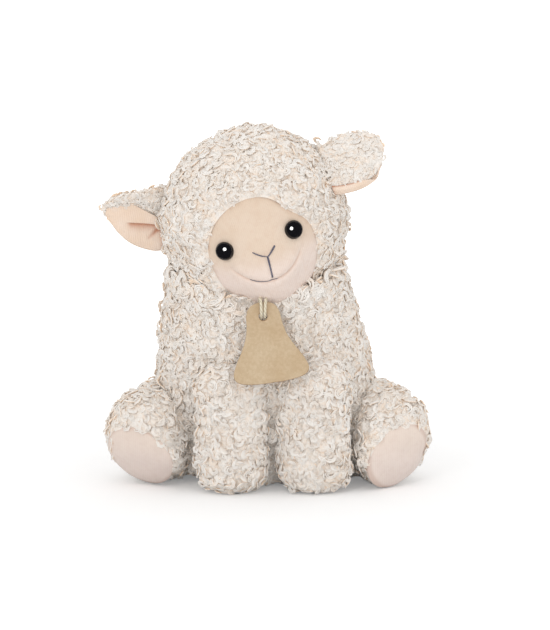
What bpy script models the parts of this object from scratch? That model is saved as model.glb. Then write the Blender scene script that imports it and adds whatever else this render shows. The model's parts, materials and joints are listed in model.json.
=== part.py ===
"""A plush sheep that sits upright: fleece covers over soft filling, sewn from separate panels.

Metres, +Z up, +X to the viewer's right. The sheep faces -Y. The origin is the middle of the seat.
"""

import math

import bmesh
import bpy
from mathutils import Matrix, Vector

# Gaps between neighbouring pieces
SEAM_GAP = 0.0003
FILLING_GAP = 0.0005
JOINT_GAP = 0.0008
FLOOR_PRESS = 0.0005
CUT_OVERRUN = 0.006

# Cloth and fleece
FLEECE_WALL = 0.006
PANEL_WALL = 0.003
PILE_OVER_SKIN = 0.0045
FLEECE_UNDER_SKIN = FLEECE_WALL - PILE_OVER_SKIN

# Body
BODY_HEIGHT = 0.166
BODY_WIDTH = 0.155
BODY_DEPTH = 0.123
BODY_SET_BACK = 0.020
BODY_LEAN = 0.0078
BODY_ROUNDNESS_SHARE = 2.3
BODY_SIDES = 28

# Each row: height, width, depth, set-back and lean, as shares of the body's own sizes
BODY_STATION_SHARES = (
    (0.0, 0.64, 0.62, 1.00, 0.0),
    (0.02, 0.80, 0.78, 0.98, 0.0),
    (0.075, 0.92, 0.88, 1.00, 0.03),
    (0.18, 0.98, 0.935, 0.98, 0.08),
    (0.315, 1.0, 0.97, 0.88, 0.20),
    (0.45, 0.985, 1.0, 0.68, 0.36),
    (0.59, 0.94, 1.0, 0.43, 0.56),
    (0.725, 0.89, 0.945, 0.19, 0.76),
    (0.83, 0.83, 0.86, 0.05, 0.90),
    (0.905, 0.735, 0.74, 0.02, 1.0),
    (0.965, 0.54, 0.52, 0.05, 1.0),
)

# Pellet bag in the seat
PELLET_BAG_LENGTH = 0.056
PELLET_BAG_WIDTH = 0.048
PELLET_BAG_HEIGHT = 0.022
PELLET_BAG_SET_BACK = 0.034
PELLET_BAG_SIDES = 16
PELLET_BAG_STATION_SHARES = ((0.0, 0.62), (0.14, 0.86), (0.5, 1.0), (0.84, 0.84), (1.0, 0.5))

# Head, about its centre
HEAD_X = -0.0108
HEAD_Y = -0.010
HEAD_Z = 0.187
HEAD_SKIN_RADIUS = 0.0615
HEAD_BACK_RADIUS = 0.056
HEAD_NOD = math.radians(12.0)
HEAD_TURN = math.radians(7.0)
HEAD_TILT = math.radians(-17.0)
HEAD_SIDES = 36
HEAD_TILT_LOW = math.radians(-8.0)
HEAD_TILT_HIGH = math.radians(32.0)
HEAD_TILT_STEPS = 8
SOCKET_RINGS = 16

# The fleece hood runs from the face rim, share 0, to the back of the head, share 1
HOOD_STATION_SHARES = (0.0, 0.035, 0.09, 0.19, 0.30, 0.42, 0.55, 0.69, 0.83, 0.94)
HOOD_LIP_SHARES = (0.2, 0.75, 1.0, 1.0, 1.0, 1.0, 1.0, 1.0, 1.0, 1.0)
FACE_RING_SHARES = (0.2, 0.38, 0.55, 0.7, 0.86, 1.0)
FACE_TOP_ANGLE = math.radians(37.0)
FACE_SIDE_ANGLE = math.radians(38.5)
FACE_CHIN_ANGLE = math.radians(45.0)

# Muzzle, a soft swelling low on the face
MUZZLE_PROUD = 0.0125
MUZZLE_RISE = math.radians(-10.0)
MUZZLE_SIDE_SPREAD = math.radians(23.0)
MUZZLE_UP_SPREAD = math.radians(20.0)
MUZZLE_DOWN_SPREAD = math.radians(26.0)

# Smile seam between the face panel and the chin panel
SMILE_DROP = 0.019
SMILE_LIFT = 0.0125
SMILE_HALF_WIDTH = 0.025
SMILE_REACH = 0.050
SMILE_POWER_SHARE = 2.4
SMILE_POINTS = 25
CHIN_CUT_REACH = HEAD_SKIN_RADIUS + MUZZLE_PROUD + CUT_OVERRUN

# Nose and mouth stitches
THREAD_RADIUS = 0.0008
THREAD_LIFT = 0.0013
THREAD_SIDES = 8
NOSE_ARM_X = 0.0080
NOSE_ARM_Z = 0.0040
NOSE_JUNCTION_Z = -0.0012
NOSE_STEM_Z = -0.0160
MOUTH_STITCH_LEFT = -0.0165
MOUTH_STITCH_RIGHT = 0.0125
STITCH_POINTS = 9

# Eyes: a dome on a shank, held by a washer behind the face
EYE_RADIUS = 0.0060
EYE_HEIGHT = 0.0046
EYE_BACK_EDGE = 0.0006
EYE_STANDOFF = 0.0007
EYE_SIDE_ANGLES = {"left": math.radians(23.6), "right": math.radians(21.5)}
EYE_RISE_ANGLES = {"left": math.radians(6.1), "right": math.radians(6.8)}
EYE_SIDES = 16
EYE_DOME_RINGS = 4
SHANK_RADIUS = 0.0018
SHANK_LENGTH = 0.0095
WASHER_RADIUS = 0.0070
WASHER_THICKNESS = 0.0020
WASHER_DEPTH = 0.0047

# Ears, each a fleece flap with a smooth lining
EAR_LENGTH = 0.041
EAR_WIDTH = 0.050
EAR_THICKNESS = 0.0060
EAR_LINING_THICKNESS = 0.0016
EAR_ROOT_RADIUS = 0.0040
EAR_CUP = 0.0055
EAR_SIDES = 16
EAR_ROUNDNESS_SHARE = 3.2
EAR_SEAT_RADIUS = HEAD_SKIN_RADIUS + PILE_OVER_SKIN + JOINT_GAP
EAR_LINING_EDGE_SHARE = 0.90
EAR_LINING_START_SHARE = 0.14
EAR_LINING_END_SHARE = 0.97
# Each row: distance from the root, width, thickness and cup, as shares
EAR_STATION_SHARES = (
    (0.0, 0.80, 1.33, 0.0),
    (0.10, 0.92, 1.12, 0.15),
    (0.24, 1.0, 1.0, 0.5),
    (0.42, 0.98, 1.0, 0.9),
    (0.60, 0.87, 0.95, 1.0),
    (0.78, 0.68, 0.88, 0.8),
    (0.92, 0.41, 0.70, 0.45),
)

# Front legs hang from the shoulders, in the leg's own frame: X side, Y depth, -Z outward
SHOULDER_SPREAD = 0.0285
SHOULDER_SHIFT = 0.0025
SHOULDER_Y = -0.041
SHOULDER_HEIGHT = 0.076
FRONT_ROOT_ALONG = 0.021
FRONT_ROOT_SIDE = 0.026
FRONT_LEG_SIDES = 18
FRONT_LEG_SWING = math.radians(50.0)
FRONT_LEG_SWING_STEPS = 5
# Each row: reach, side, depth, and depth offset, as shares of the reach and the root's radii
FRONT_LEG_STATION_SHARES = (
    (0.20, 1.01, 1.0, 0.0),
    (0.45, 0.97, 0.95, -0.02),
    (0.70, 1.0, 0.97, -0.04),
    (0.87, 0.95, 0.90, -0.04),
    (0.965, 0.78, 0.72, -0.03),
    (1.0, 0.55, 0.50, -0.02),
)

# Hind legs splay from the hips, in the leg's own frame: X side, Y up, -Z outward
HIP_INSET = 0.0085
HIP_SPREAD = BODY_WIDTH / 2.0 - HIP_INSET
HIP_Y = 0.012
HIND_ROOT_ALONG = 0.030
HIND_ROOT_RISE = 0.036
HIP_HEIGHT = HIND_ROOT_RISE - FLOOR_PRESS
HIND_LEG_REACH = 0.048
HIND_LEG_SPREAD = math.radians(25.0)
HIND_LEG_SIDES = 20
HIND_LEG_STATION_SHARES = (
    (0.30, 0.98, 0.97, -0.03),
    (0.58, 0.97, 0.95, -0.05),
    (0.80, 0.96, 0.90, -0.09),
    (0.93, 0.92, 0.78, -0.19),
    (1.0, 0.84, 0.62, -0.32),
)
SOLE_THICKNESS = 0.0022
SOLE_CROWN = 0.0026
SOLE_EDGE_SHARE = 0.93
SOLE_MIDDLE_SHARE = 0.55
# How the left and the right sole are turned from square, down and outward
SOLE_DOWN = {"left": math.radians(33.0), "right": math.radians(13.0)}
SOLE_OUT = {"left": math.radians(0.0), "right": math.radians(-9.0)}
# How far the outer side of each foot is lifted over its inner side
SOLE_ROLL = {"left": math.radians(3.0), "right": math.radians(12.0)}

# Tail
TAIL_ROOT_RADIUS = 0.0095
TAIL_REACH = 0.031
TAIL_Y = BODY_SET_BACK + BODY_DEPTH / 2.0
TAIL_HEIGHT = 0.052
TAIL_WALL = 0.0035
TAIL_SIDES = 12
TAIL_STATION_SHARES = (
    (0.34, 1.05, 0.95, 0.80),
    (0.62, 1.15, 1.02, 1.05),
    (0.86, 0.90, 0.85, 1.0),
    (0.97, 0.50, 0.50, 0.9),
)
ROOT_RING_ANGLES = tuple(math.radians(degrees) for degrees in (-66.0, -48.0, -30.0, -14.0, 0.0))

# Hang tag and its cord
TAG_HOLE_X = -0.0040
TAG_HOLE_Y = -0.0635
TAG_HOLE_Z = 0.1277
TAG_LEAN = math.radians(-8.0)
TAG_ROLL = math.radians(-8.5)
TAG_WIDTH = 0.052
TAG_DROP = 0.046
TAG_RISE = 0.0095
TAG_THICKNESS = 0.0012
TAG_HOLE_RADIUS = 0.0030
TAG_HOLE_SIDES = 20
# The card's right-hand edge from its top to its foot: height from the hole and half-width, as shares
TAG_TOP_SHARES = ((1.0, 0.0), (0.97, 0.16), (0.82, 0.30), (0.5, 0.40), (0.0, 0.455))
TAG_EDGE_SHARES = (
    (0.14, 0.48),
    (0.30, 0.55),
    (0.46, 0.68),
    (0.60, 0.83),
    (0.72, 0.94),
    (0.82, 1.0),
    (0.90, 0.97),
    (0.955, 0.84),
    (0.985, 0.60),
    (1.0, 0.30),
    (1.0, 0.0),
)
CORD_DIAMETER = 0.0020
CORD_CURVE_STEPS = 2
# The cord's left half, from the chest over the card's top, down to the hole and behind the card
CORD_HALF_ROUTE = (
    (-0.0068, -0.0560, 0.1340),
    (-0.0067, -0.0570, 0.1366),
    (-0.0064, -0.0589, 0.1389),
    (-0.0061, -0.0615, 0.1399),
    (-0.0057, -0.0644, 0.1387),
    (-0.0054, -0.0662, 0.1358),
    (-0.0053, -0.0666, 0.1325),
    (-0.0052, -0.0657, 0.1298),
    (-0.0052, -0.0635, 0.1277),
    (-0.0055, -0.0614, 0.1258),
    (-0.0066, -0.0603, 0.1232),
    (-0.0079, -0.0600, 0.1204),
    (-0.0080, -0.0598, 0.1176),
    (-0.0065, -0.0597, 0.1152),
)
CORD_FOOT = (-0.0040, -0.0597, 0.1143)

SIDE_SIGNS = {"left": -1.0, "right": 1.0}
EAR_DIRECTIONS = {"left": (-0.934, 0.13, 0.32), "right": (0.929, -0.10, 0.327)}
EAR_OUTWARD = {"left": (-0.933, 0.0, 0.396), "right": (0.99, -0.09, 0.046)}
EAR_TWIST = {"left": math.radians(-2.0), "right": math.radians(128.0)}

COLOURS = {
    "fleece": (0.80, 0.72, 0.62, 0.95),
    "velour": (0.84, 0.70, 0.60, 0.85),
    "sole": (0.80, 0.66, 0.58, 0.85),
    "lining": (0.84, 0.62, 0.49, 0.85),
    "filling": (0.90, 0.90, 0.88, 0.95),
    "pellets": (0.75, 0.76, 0.78, 0.80),
    "eye": (0.01, 0.01, 0.015, 0.08),
    "washer": (0.85, 0.85, 0.83, 0.45),
    "thread": (0.20, 0.20, 0.26, 0.80),
    "card": (0.60, 0.46, 0.29, 0.90),
    "cord": (0.76, 0.69, 0.53, 0.60),
}


def clear_scene():
    for item in list(bpy.data.objects):
        bpy.data.objects.remove(item, do_unlink=True)


def material_for(finish):
    """The finish's material, made the first time it is asked for."""
    found = bpy.data.materials.get(finish)
    if found:
        return found
    red, green, blue, roughness = COLOURS[finish]
    material = bpy.data.materials.new(finish)
    material.use_nodes = True
    shader = material.node_tree.nodes["Principled BSDF"]
    shader.inputs["Base Color"].default_value = (red, green, blue, 1.0)
    shader.inputs["Roughness"].default_value = roughness
    shader.inputs["Metallic"].default_value = 0.0
    return material


def new_pivot(name, location, rotation=None, parent=None):
    """An empty on a joint's axis, or at the middle of a form."""
    pivot = bpy.data.objects.new(name, None)
    bpy.context.scene.collection.objects.link(pivot)
    frame = rotation.to_4x4() if rotation else Matrix.Identity(4)
    pivot.parent = parent
    pivot.matrix_local = Matrix.Translation(location) @ frame
    return pivot


def new_piece(name, bm, finish, parent=None, is_cutter=False, is_flat=False):
    """A mesh object with its faces out, under its pivot."""
    bmesh.ops.recalc_face_normals(bm, faces=bm.faces)
    mesh = bpy.data.meshes.new(name)
    bm.to_mesh(mesh)
    bm.free()
    if not is_flat:
        mesh.shade_smooth()
    piece = bpy.data.objects.new(name, mesh)
    bpy.context.scene.collection.objects.link(piece)
    piece.parent = parent
    if is_cutter:
        piece.hide_render = True
        piece.display_type = "WIRE"
    else:
        mesh.materials.append(material_for(finish))
    return piece


def combine(piece, other, operation):
    """Cut a piece by another, or join or limit it to the other."""
    modifier = piece.modifiers.new(operation.lower() + "_" + other.name, "BOOLEAN")
    modifier.operation = operation
    modifier.solver = "EXACT"
    modifier.object = other


def add_wall(bm, rings, first_tip=None, last_tip=None):
    """One skin through the rings, closed at an end by a tip where there is one."""
    loops = [[bm.verts.new(point) for point in ring] for ring in rings]
    count = len(loops[0])
    for low, high in zip(loops, loops[1:]):
        for index in range(count):
            after = (index + 1) % count
            bm.faces.new((low[index], low[after], high[after], high[index]))
    for loop, tip in ((loops[0], first_tip), (loops[-1], last_tip)):
        if tip is None:
            continue
        end = bm.verts.new(tip)
        for index in range(count):
            bm.faces.new((loop[index], loop[(index + 1) % count], end))
    return loops


def add_rim(bm, outer_loop, inner_loop):
    """The open edge of a shell, between its outer and its inner skin."""
    count = len(outer_loop)
    for index in range(count):
        after = (index + 1) % count
        bm.faces.new((outer_loop[index], outer_loop[after], inner_loop[after], inner_loop[index]))


def solid_form(rings, first_tip, last_tip):
    bm = bmesh.new()
    add_wall(bm, rings, first_tip, last_tip)
    return bm


def shell_form(outer, inner, opening="first"):
    """A shell from an outer and an inner skin, open at its first ring, its last ring or both."""
    bm = bmesh.new()
    outer_loops = add_wall(bm, *outer)
    inner_loops = add_wall(bm, *inner)
    if opening in ("first", "both"):
        add_rim(bm, outer_loops[0], inner_loops[0])
    if opening in ("last", "both"):
        add_rim(bm, outer_loops[-1], inner_loops[-1])
    return bm


def bend_power(value, roundness):
    return math.copysign(abs(value) ** (2.0 / roundness), value)


def oval(sides, half_x, half_y, roundness=2.0):
    """Points round an oval, squarer as its roundness share grows past 2."""
    points = []
    for index in range(sides):
        angle = 2.0 * math.pi * index / sides
        x = half_x * bend_power(math.cos(angle), roundness)
        y = half_y * bend_power(math.sin(angle), roundness)
        points.append((x, y))
    return points


def pressed_flat(point, inset, frame=None):
    """The point, or its place on the floor where the form would dip below it."""
    place = frame @ Vector(point) if frame else Vector(point)
    place.z = max(place.z, inset)
    return frame.inverted() @ place if frame else place


def body_rings(inset):
    """The body's rings, drawn in by an inset all round."""
    rings = []
    half_width = BODY_WIDTH / 2.0 - inset
    half_depth = BODY_DEPTH / 2.0 - inset
    height = BODY_HEIGHT + FLOOR_PRESS - 2.0 * inset
    for height_share, width_share, depth_share, back_share, lean_share in BODY_STATION_SHARES:
        z = inset - FLOOR_PRESS + height * height_share
        outline = oval(BODY_SIDES, half_width * width_share, half_depth * depth_share, BODY_ROUNDNESS_SHARE)
        x_middle = -BODY_LEAN * lean_share
        y_middle = BODY_SET_BACK * back_share
        ring = [pressed_flat((x_middle + x, y_middle + y, z), inset) for x, y in outline]
        rings.append(ring)
    return rings


def middle_of(ring):
    total = Vector((0.0, 0.0, 0.0))
    for point in ring:
        total += Vector(point)
    return total / len(ring)


def make_body(cutters):
    """The fleece body cover, its filling, and the pellet bag in a pocket of the filling."""
    outer = body_rings(0.0)
    inner = body_rings(FLEECE_WALL)
    cover_form = shell_form(
        (outer, middle_of(outer[0]), None), (inner, middle_of(inner[0]), None), opening="last"
    )
    cover = new_piece("body_cover", cover_form, "fleece")
    core = body_rings(FLEECE_WALL + FILLING_GAP)
    filling = new_piece("body_stuffing", solid_form(core, middle_of(core[0]), middle_of(core[-1])), "filling")
    for cutter in cutters:
        combine(cover, cutter, "DIFFERENCE")
        combine(filling, cutter, "DIFFERENCE")
    new_piece("pellet_bag", pellet_bag_form(0.0), "pellets")
    pocket = new_piece("pellet_pocket", pellet_bag_form(JOINT_GAP), None, is_cutter=True)
    combine(filling, pocket, "DIFFERENCE")


def pellet_bag_form(growth):
    """The flat pillow of pellets, or with growth the pocket that it lies in, open downward."""
    rings = []
    floor = FLEECE_WALL + FILLING_GAP
    for height_share, size_share in PELLET_BAG_STATION_SHARES:
        z = floor + PELLET_BAG_HEIGHT * height_share
        half_x = (PELLET_BAG_WIDTH / 2.0) * size_share + growth
        half_y = (PELLET_BAG_LENGTH / 2.0) * size_share + growth
        rings.append([(x, PELLET_BAG_SET_BACK + y, z) for x, y in oval(PELLET_BAG_SIDES, half_x, half_y)])
    if growth > 0.0:
        rings.insert(0, [(x, y, 0.0) for x, y, z in rings[0]])
        rings.append([(x, y, z + growth) for x, y, z in rings[-1]])
    return solid_form(rings, middle_of(rings[0]), middle_of(rings[-1]))


def head_direction(angle, turn):
    """A unit vector at an angle from the face's axis, turned round it from the top."""
    return Vector((math.sin(angle) * math.sin(turn), -math.cos(angle), math.sin(angle) * math.cos(turn)))


def skin_radius(direction):
    """The distance from the head's centre to its skin, without pile."""
    x, y, z = direction
    if y > 0.0:
        across = math.hypot(x, z) / HEAD_SKIN_RADIUS
        radius = 1.0 / math.hypot(across, y / HEAD_BACK_RADIUS)
    else:
        radius = HEAD_SKIN_RADIUS
    side = math.atan2(x, -y) / MUZZLE_SIDE_SPREAD
    rise = math.atan2(z, math.hypot(x, y)) - MUZZLE_RISE
    spread = MUZZLE_UP_SPREAD if rise > 0.0 else MUZZLE_DOWN_SPREAD
    return radius + MUZZLE_PROUD * math.exp(-(side * side) - (rise / spread) ** 2.0)


def skin_at(x, z):
    """The point of the face's skin that lies at x and z."""
    forward = HEAD_SKIN_RADIUS
    for _ in range(BODY_SIDES):
        direction = Vector((x, -forward, z)).normalized()
        point = direction * skin_radius(direction)
        forward = math.sqrt(point.length_squared - x * x - z * z)
    return Vector((x, -forward, z))


def skin_normal(point):
    """The outward normal of the skin, from two points beside the given one."""
    step = THREAD_RADIUS
    across = skin_at(point.x + step, point.z) - skin_at(point.x - step, point.z)
    upward = skin_at(point.x, point.z + step) - skin_at(point.x, point.z - step)
    return across.cross(upward).normalized()


def rim_angle(turn):
    """The face rim's angle from the face's axis: shorter at the brow, longer at the chin."""
    upward = math.cos(turn)
    if upward > 0.0:
        return FACE_SIDE_ANGLE + (FACE_TOP_ANGLE - FACE_SIDE_ANGLE) * upward * upward
    return FACE_SIDE_ANGLE + (FACE_CHIN_ANGLE - FACE_SIDE_ANGLE) * upward * upward


def head_turns():
    return [2.0 * math.pi * index / HEAD_SIDES for index in range(HEAD_SIDES)]


def hood_rings(offsets):
    """Rings of the hood from the face rim backward, each at its own distance over the skin."""
    rings = []
    for share, offset in zip(HOOD_STATION_SHARES, offsets):
        ring = []
        for turn in head_turns():
            rim = rim_angle(turn)
            direction = head_direction(rim + (math.pi - rim) * share, turn)
            ring.append(direction * (skin_radius(direction) + offset))
        rings.append(ring)
    return rings


def face_rings(offset, edge_gap_angle):
    """Rings of the face from near its middle out to its rim."""
    rings = []
    for share in FACE_RING_SHARES:
        ring = []
        for turn in head_turns():
            direction = head_direction((rim_angle(turn) - edge_gap_angle) * share, turn)
            ring.append(direction * (skin_radius(direction) + offset))
        rings.append(ring)
    return rings


def head_tip(sign, offset):
    """The head's foremost or backmost point, at a distance over the skin."""
    direction = Vector((0.0, sign, 0.0))
    return direction * (skin_radius(direction) + offset)


def smile_height(x):
    """The smile seam's height at x, in the head's frame: level past the smile's ends."""
    share = min(abs(x) / SMILE_HALF_WIDTH, 1.0)
    return -SMILE_DROP + SMILE_LIFT * share**SMILE_POWER_SHARE


def chin_cutter(name, lift, parent):
    """Everything below the smile seam, as a block."""
    bm = bmesh.new()
    top = []
    for index in range(SMILE_POINTS):
        x = SMILE_REACH * (2.0 * index / (SMILE_POINTS - 1) - 1.0)
        rise = smile_height(x + THREAD_RADIUS) - smile_height(x - THREAD_RADIUS)
        across = Vector((-rise, 2.0 * THREAD_RADIUS)).normalized() * lift
        top.append((x + across.x, smile_height(x) + across.y))
    outline = top + [(SMILE_REACH, -CHIN_CUT_REACH), (-SMILE_REACH, -CHIN_CUT_REACH)]
    front = [bm.verts.new((x, -CHIN_CUT_REACH, z)) for x, z in outline]
    back = [bm.verts.new((x, 0.0, z)) for x, z in outline]
    bm.faces.new(front)
    bm.faces.new(list(reversed(back)))
    add_rim(bm, front, back)
    return new_piece(name, bm, None, parent, is_cutter=True)


def face_shell():
    edge_gap_angle = SEAM_GAP / HEAD_SKIN_RADIUS
    outer = face_rings(0.0, edge_gap_angle)
    inner = face_rings(-PANEL_WALL, edge_gap_angle)
    return shell_form(
        (outer, head_tip(-1.0, 0.0), None), (inner, head_tip(-1.0, -PANEL_WALL), None), opening="last"
    )


def make_head(pivot):
    """The fleece hood, the face and chin panels, and the filling."""
    hood_outer = hood_rings([PILE_OVER_SKIN * share for share in HOOD_LIP_SHARES])
    inner_offsets = [-PANEL_WALL] + [-FLEECE_UNDER_SKIN] * (len(HOOD_STATION_SHARES) - 1)
    hood_inner = hood_rings(inner_offsets)
    hood = new_piece(
        "head_cover",
        shell_form(
            (hood_outer, None, head_tip(1.0, PILE_OVER_SKIN)),
            (hood_inner, None, head_tip(1.0, -FLEECE_UNDER_SKIN)),
        ),
        "fleece",
        pivot,
    )
    face = new_piece("face_panel", face_shell(), "velour", pivot)
    combine(face, chin_cutter("chin_side_of_seam", SEAM_GAP, pivot), "DIFFERENCE")
    chin = new_piece("chin_panel", face_shell(), "velour", pivot)
    combine(chin, chin_cutter("chin_limit", 0.0, pivot), "INTERSECT")
    filling_offsets = [offset - FILLING_GAP for offset in inner_offsets]
    filling_rings = face_rings(-PANEL_WALL - FILLING_GAP, 0.0)[:-1] + hood_rings(filling_offsets)
    filling = new_piece(
        "head_stuffing",
        solid_form(
            filling_rings,
            head_tip(-1.0, -PANEL_WALL - FILLING_GAP),
            head_tip(1.0, -FLEECE_UNDER_SKIN - FILLING_GAP),
        ),
        "filling",
        pivot,
    )
    return hood, face, filling


def make_head_socket(pivot):
    """The space that the head takes over its whole tilt, as a cutter."""
    rings = []
    for ring_index in range(1, SOCKET_RINGS):
        angle = math.pi * ring_index / SOCKET_RINGS
        ring = []
        for turn in head_turns():
            widest = 0.0
            for step in range(HEAD_TILT_STEPS + 1):
                tilt = HEAD_TILT_LOW + (HEAD_TILT_HIGH - HEAD_TILT_LOW) * step / HEAD_TILT_STEPS
                widest = max(widest, skin_radius(head_direction(angle, turn - tilt)))
            ring.append(head_direction(angle, turn) * (widest + PILE_OVER_SKIN + JOINT_GAP))
        rings.append(ring)
    clearance = PILE_OVER_SKIN + JOINT_GAP
    form = solid_form(rings, head_tip(-1.0, clearance), head_tip(1.0, clearance))
    return new_piece("head_socket", form, None, pivot, is_cutter=True)


def turned_form(profile, sides):
    """A solid turned about Z from pairs of radius and height, closed by its first and last pair."""
    rings = []
    for radius, height in profile[1:-1]:
        rings.append([(x, y, height) for x, y in oval(sides, radius, radius)])
    return solid_form(rings, (0.0, 0.0, profile[0][1]), (0.0, 0.0, profile[-1][1]))


def washer_form(hole_radius, radius, front, thickness, sides):
    bm = bmesh.new()
    rings = []
    corners = ((hole_radius, 0.0), (radius, 0.0), (radius, -thickness), (hole_radius, -thickness))
    for ring_radius, step in corners:
        rings.append([(x, y, step - front) for x, y in oval(sides, ring_radius, ring_radius)])
    loops = add_wall(bm, rings)
    add_rim(bm, loops[-1], loops[0])
    return bm


def make_eye(side, head_pivot, face, filling):
    """A domed eye with its shank through the face, and the washer behind."""
    side_angle = SIDE_SIGNS[side] * EYE_SIDE_ANGLES[side]
    rise_angle = EYE_RISE_ANGLES[side]
    level = math.cos(rise_angle)
    direction = Vector((math.sin(side_angle) * level, -math.cos(side_angle) * level, math.sin(rise_angle)))
    point = direction * skin_radius(direction)
    normal = skin_normal(point)
    rotation = normal.to_track_quat("Z", "Y").to_matrix()
    seat = new_pivot("eye_seat_" + side, point, rotation, head_pivot)
    profile = [(0.0, -SHANK_LENGTH), (SHANK_RADIUS, -SHANK_LENGTH), (SHANK_RADIUS, EYE_STANDOFF)]
    profile += [(EYE_RADIUS - EYE_BACK_EDGE, EYE_STANDOFF)]
    for index in range(EYE_DOME_RINGS):
        angle = (math.pi / 2.0) * index / EYE_DOME_RINGS
        height = EYE_STANDOFF + EYE_BACK_EDGE + (EYE_HEIGHT - EYE_BACK_EDGE) * math.sin(angle)
        profile.append((EYE_RADIUS * math.cos(angle), height))
    profile.append((0.0, EYE_STANDOFF + EYE_HEIGHT))
    new_piece("eye_" + side, turned_form(profile, EYE_SIDES), "eye", seat)
    ring = washer_form(SHANK_RADIUS + SEAM_GAP, WASHER_RADIUS, WASHER_DEPTH, WASHER_THICKNESS, EYE_SIDES)
    new_piece("eye_washer_" + side, ring, "washer", seat, is_flat=True)
    shank_hole_radius = SHANK_RADIUS + SEAM_GAP
    pocket_top = -WASHER_DEPTH + SEAM_GAP
    pocket_floor = -WASHER_DEPTH - WASHER_THICKNESS - SEAM_GAP
    hole_profile = [(0.0, -SHANK_LENGTH - SEAM_GAP), (shank_hole_radius, -SHANK_LENGTH - SEAM_GAP)]
    hole_profile += [(shank_hole_radius, CUT_OVERRUN), (0.0, CUT_OVERRUN)]
    hole = new_piece("shank_hole_" + side, turned_form(hole_profile, EYE_SIDES), None, seat, is_cutter=True)
    pocket_radius = WASHER_RADIUS + SEAM_GAP
    pocket_profile = [(0.0, pocket_floor), (pocket_radius, pocket_floor)]
    pocket_profile += [(pocket_radius, pocket_top + CUT_OVERRUN), (0.0, pocket_top + CUT_OVERRUN)]
    pocket_form = turned_form(pocket_profile, EYE_SIDES)
    pocket = new_piece("washer_pocket_" + side, pocket_form, None, seat, is_cutter=True)
    combine(face, hole, "DIFFERENCE")
    combine(filling, pocket, "DIFFERENCE")
    combine(filling, hole, "DIFFERENCE")


def tube_form(points, radius, sides):
    """A round thread through the points, closed at both ends."""
    rings = []
    side_way = None
    for index, point in enumerate(points):
        before = points[max(index - 1, 0)]
        after = points[min(index + 1, len(points) - 1)]
        along = (after - before).normalized()
        if side_way is None:
            side_way = along.orthogonal()
        side_way = (side_way - along * side_way.dot(along)).normalized()
        other_way = along.cross(side_way)
        rings.append([point + side_way * x + other_way * y for x, y in oval(sides, radius, radius)])
    return solid_form(rings, points[0], points[-1])


def on_face(x, z):
    """A thread's centre where it lies on the face at x and z."""
    point = skin_at(x, z)
    return point + skin_normal(point) * THREAD_LIFT


def line_on_face(start, end):
    points = []
    for index in range(STITCH_POINTS):
        share = index / (STITCH_POINTS - 1)
        x = start[0] + (end[0] - start[0]) * share
        z = start[1] + (end[1] - start[1]) * share
        points.append(on_face(x, z))
    return points


def make_stitches(pivot):
    """The Y of the nose in one thread, and the smile's thread over its seam."""
    junction = (0.0, NOSE_JUNCTION_Z)
    left_arm = line_on_face((-NOSE_ARM_X, NOSE_ARM_Z), junction)
    right_arm = line_on_face(junction, (NOSE_ARM_X, NOSE_ARM_Z))
    brace = tube_form(left_arm + right_arm[1:], THREAD_RADIUS, THREAD_SIDES)
    nose = new_piece("nose_stitch", brace, "thread", pivot)
    stem_form = tube_form(line_on_face(junction, (0.0, NOSE_STEM_Z)), THREAD_RADIUS, THREAD_SIDES)
    stem = new_piece("nose_stem_guide", stem_form, None, pivot, is_cutter=True)
    combine(nose, stem, "UNION")
    smile = []
    for index in range(2 * STITCH_POINTS):
        share = index / (2 * STITCH_POINTS - 1)
        x = MOUTH_STITCH_LEFT + (MOUTH_STITCH_RIGHT - MOUTH_STITCH_LEFT) * share
        smile.append(on_face(x, smile_height(x)))
    new_piece("mouth_stitch", tube_form(smile, THREAD_RADIUS, THREAD_SIDES), "thread", pivot)


def ear_cup(share, across):
    """How far the ear bends to its lined side, by the share of its half-width from the middle."""
    return EAR_CUP * share * across * across


def ear_cover_form(growth):
    """The fleece flap with its rounded root, or with growth the room that it needs."""
    rings = []
    half_width = EAR_WIDTH / 2.0
    half_thickness = EAR_THICKNESS / 2.0
    root_width = half_width * EAR_STATION_SHARES[0][1]
    for angle in ROOT_RING_ANGLES[:-1]:
        along = (EAR_ROOT_RADIUS + growth) * math.sin(angle)
        depth = (EAR_ROOT_RADIUS + growth) * math.cos(angle)
        outline = oval(EAR_SIDES, root_width + growth, depth, EAR_ROUNDNESS_SHARE)
        rings.append([(x, y, along) for x, y in outline])
    for reach, width, thickness, cup in EAR_STATION_SHARES:
        half_x = half_width * width + growth
        outline = oval(EAR_SIDES, half_x, half_thickness * thickness + growth, EAR_ROUNDNESS_SHARE)
        rings.append([(x, y + ear_cup(cup, x / half_x), EAR_LENGTH * reach) for x, y in outline])
    return solid_form(rings, middle_of(rings[0]), (0.0, 0.0, EAR_LENGTH + growth))


def ear_lining_form():
    """The smooth lining that lies on the flap's hollow side."""
    rings = []
    half_width = EAR_WIDTH / 2.0
    half_thickness = EAR_THICKNESS / 2.0
    for reach, width, thickness_share, cup in EAR_STATION_SHARES[1:]:
        along = EAR_LENGTH * max(reach, EAR_LINING_START_SHARE)
        half_x = half_width * width * EAR_LINING_EDGE_SHARE
        clear = half_thickness * max(thickness_share, 1.0) + SEAM_GAP + SEAM_GAP
        middle = clear + EAR_LINING_THICKNESS / 2.0
        ring = []
        for x, y in oval(EAR_SIDES, half_x, EAR_LINING_THICKNESS / 2.0, EAR_ROUNDNESS_SHARE):
            bend = ear_cup(cup, x / (half_width * width))
            ring.append((x, middle + y + bend, along))
        rings.append(ring)
    end_reach = EAR_LENGTH * EAR_LINING_END_SHARE
    end_middle = half_thickness + SEAM_GAP + SEAM_GAP + EAR_LINING_THICKNESS / 2.0
    return solid_form(rings, middle_of(rings[0]), (0.0, end_middle, end_reach))


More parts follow.
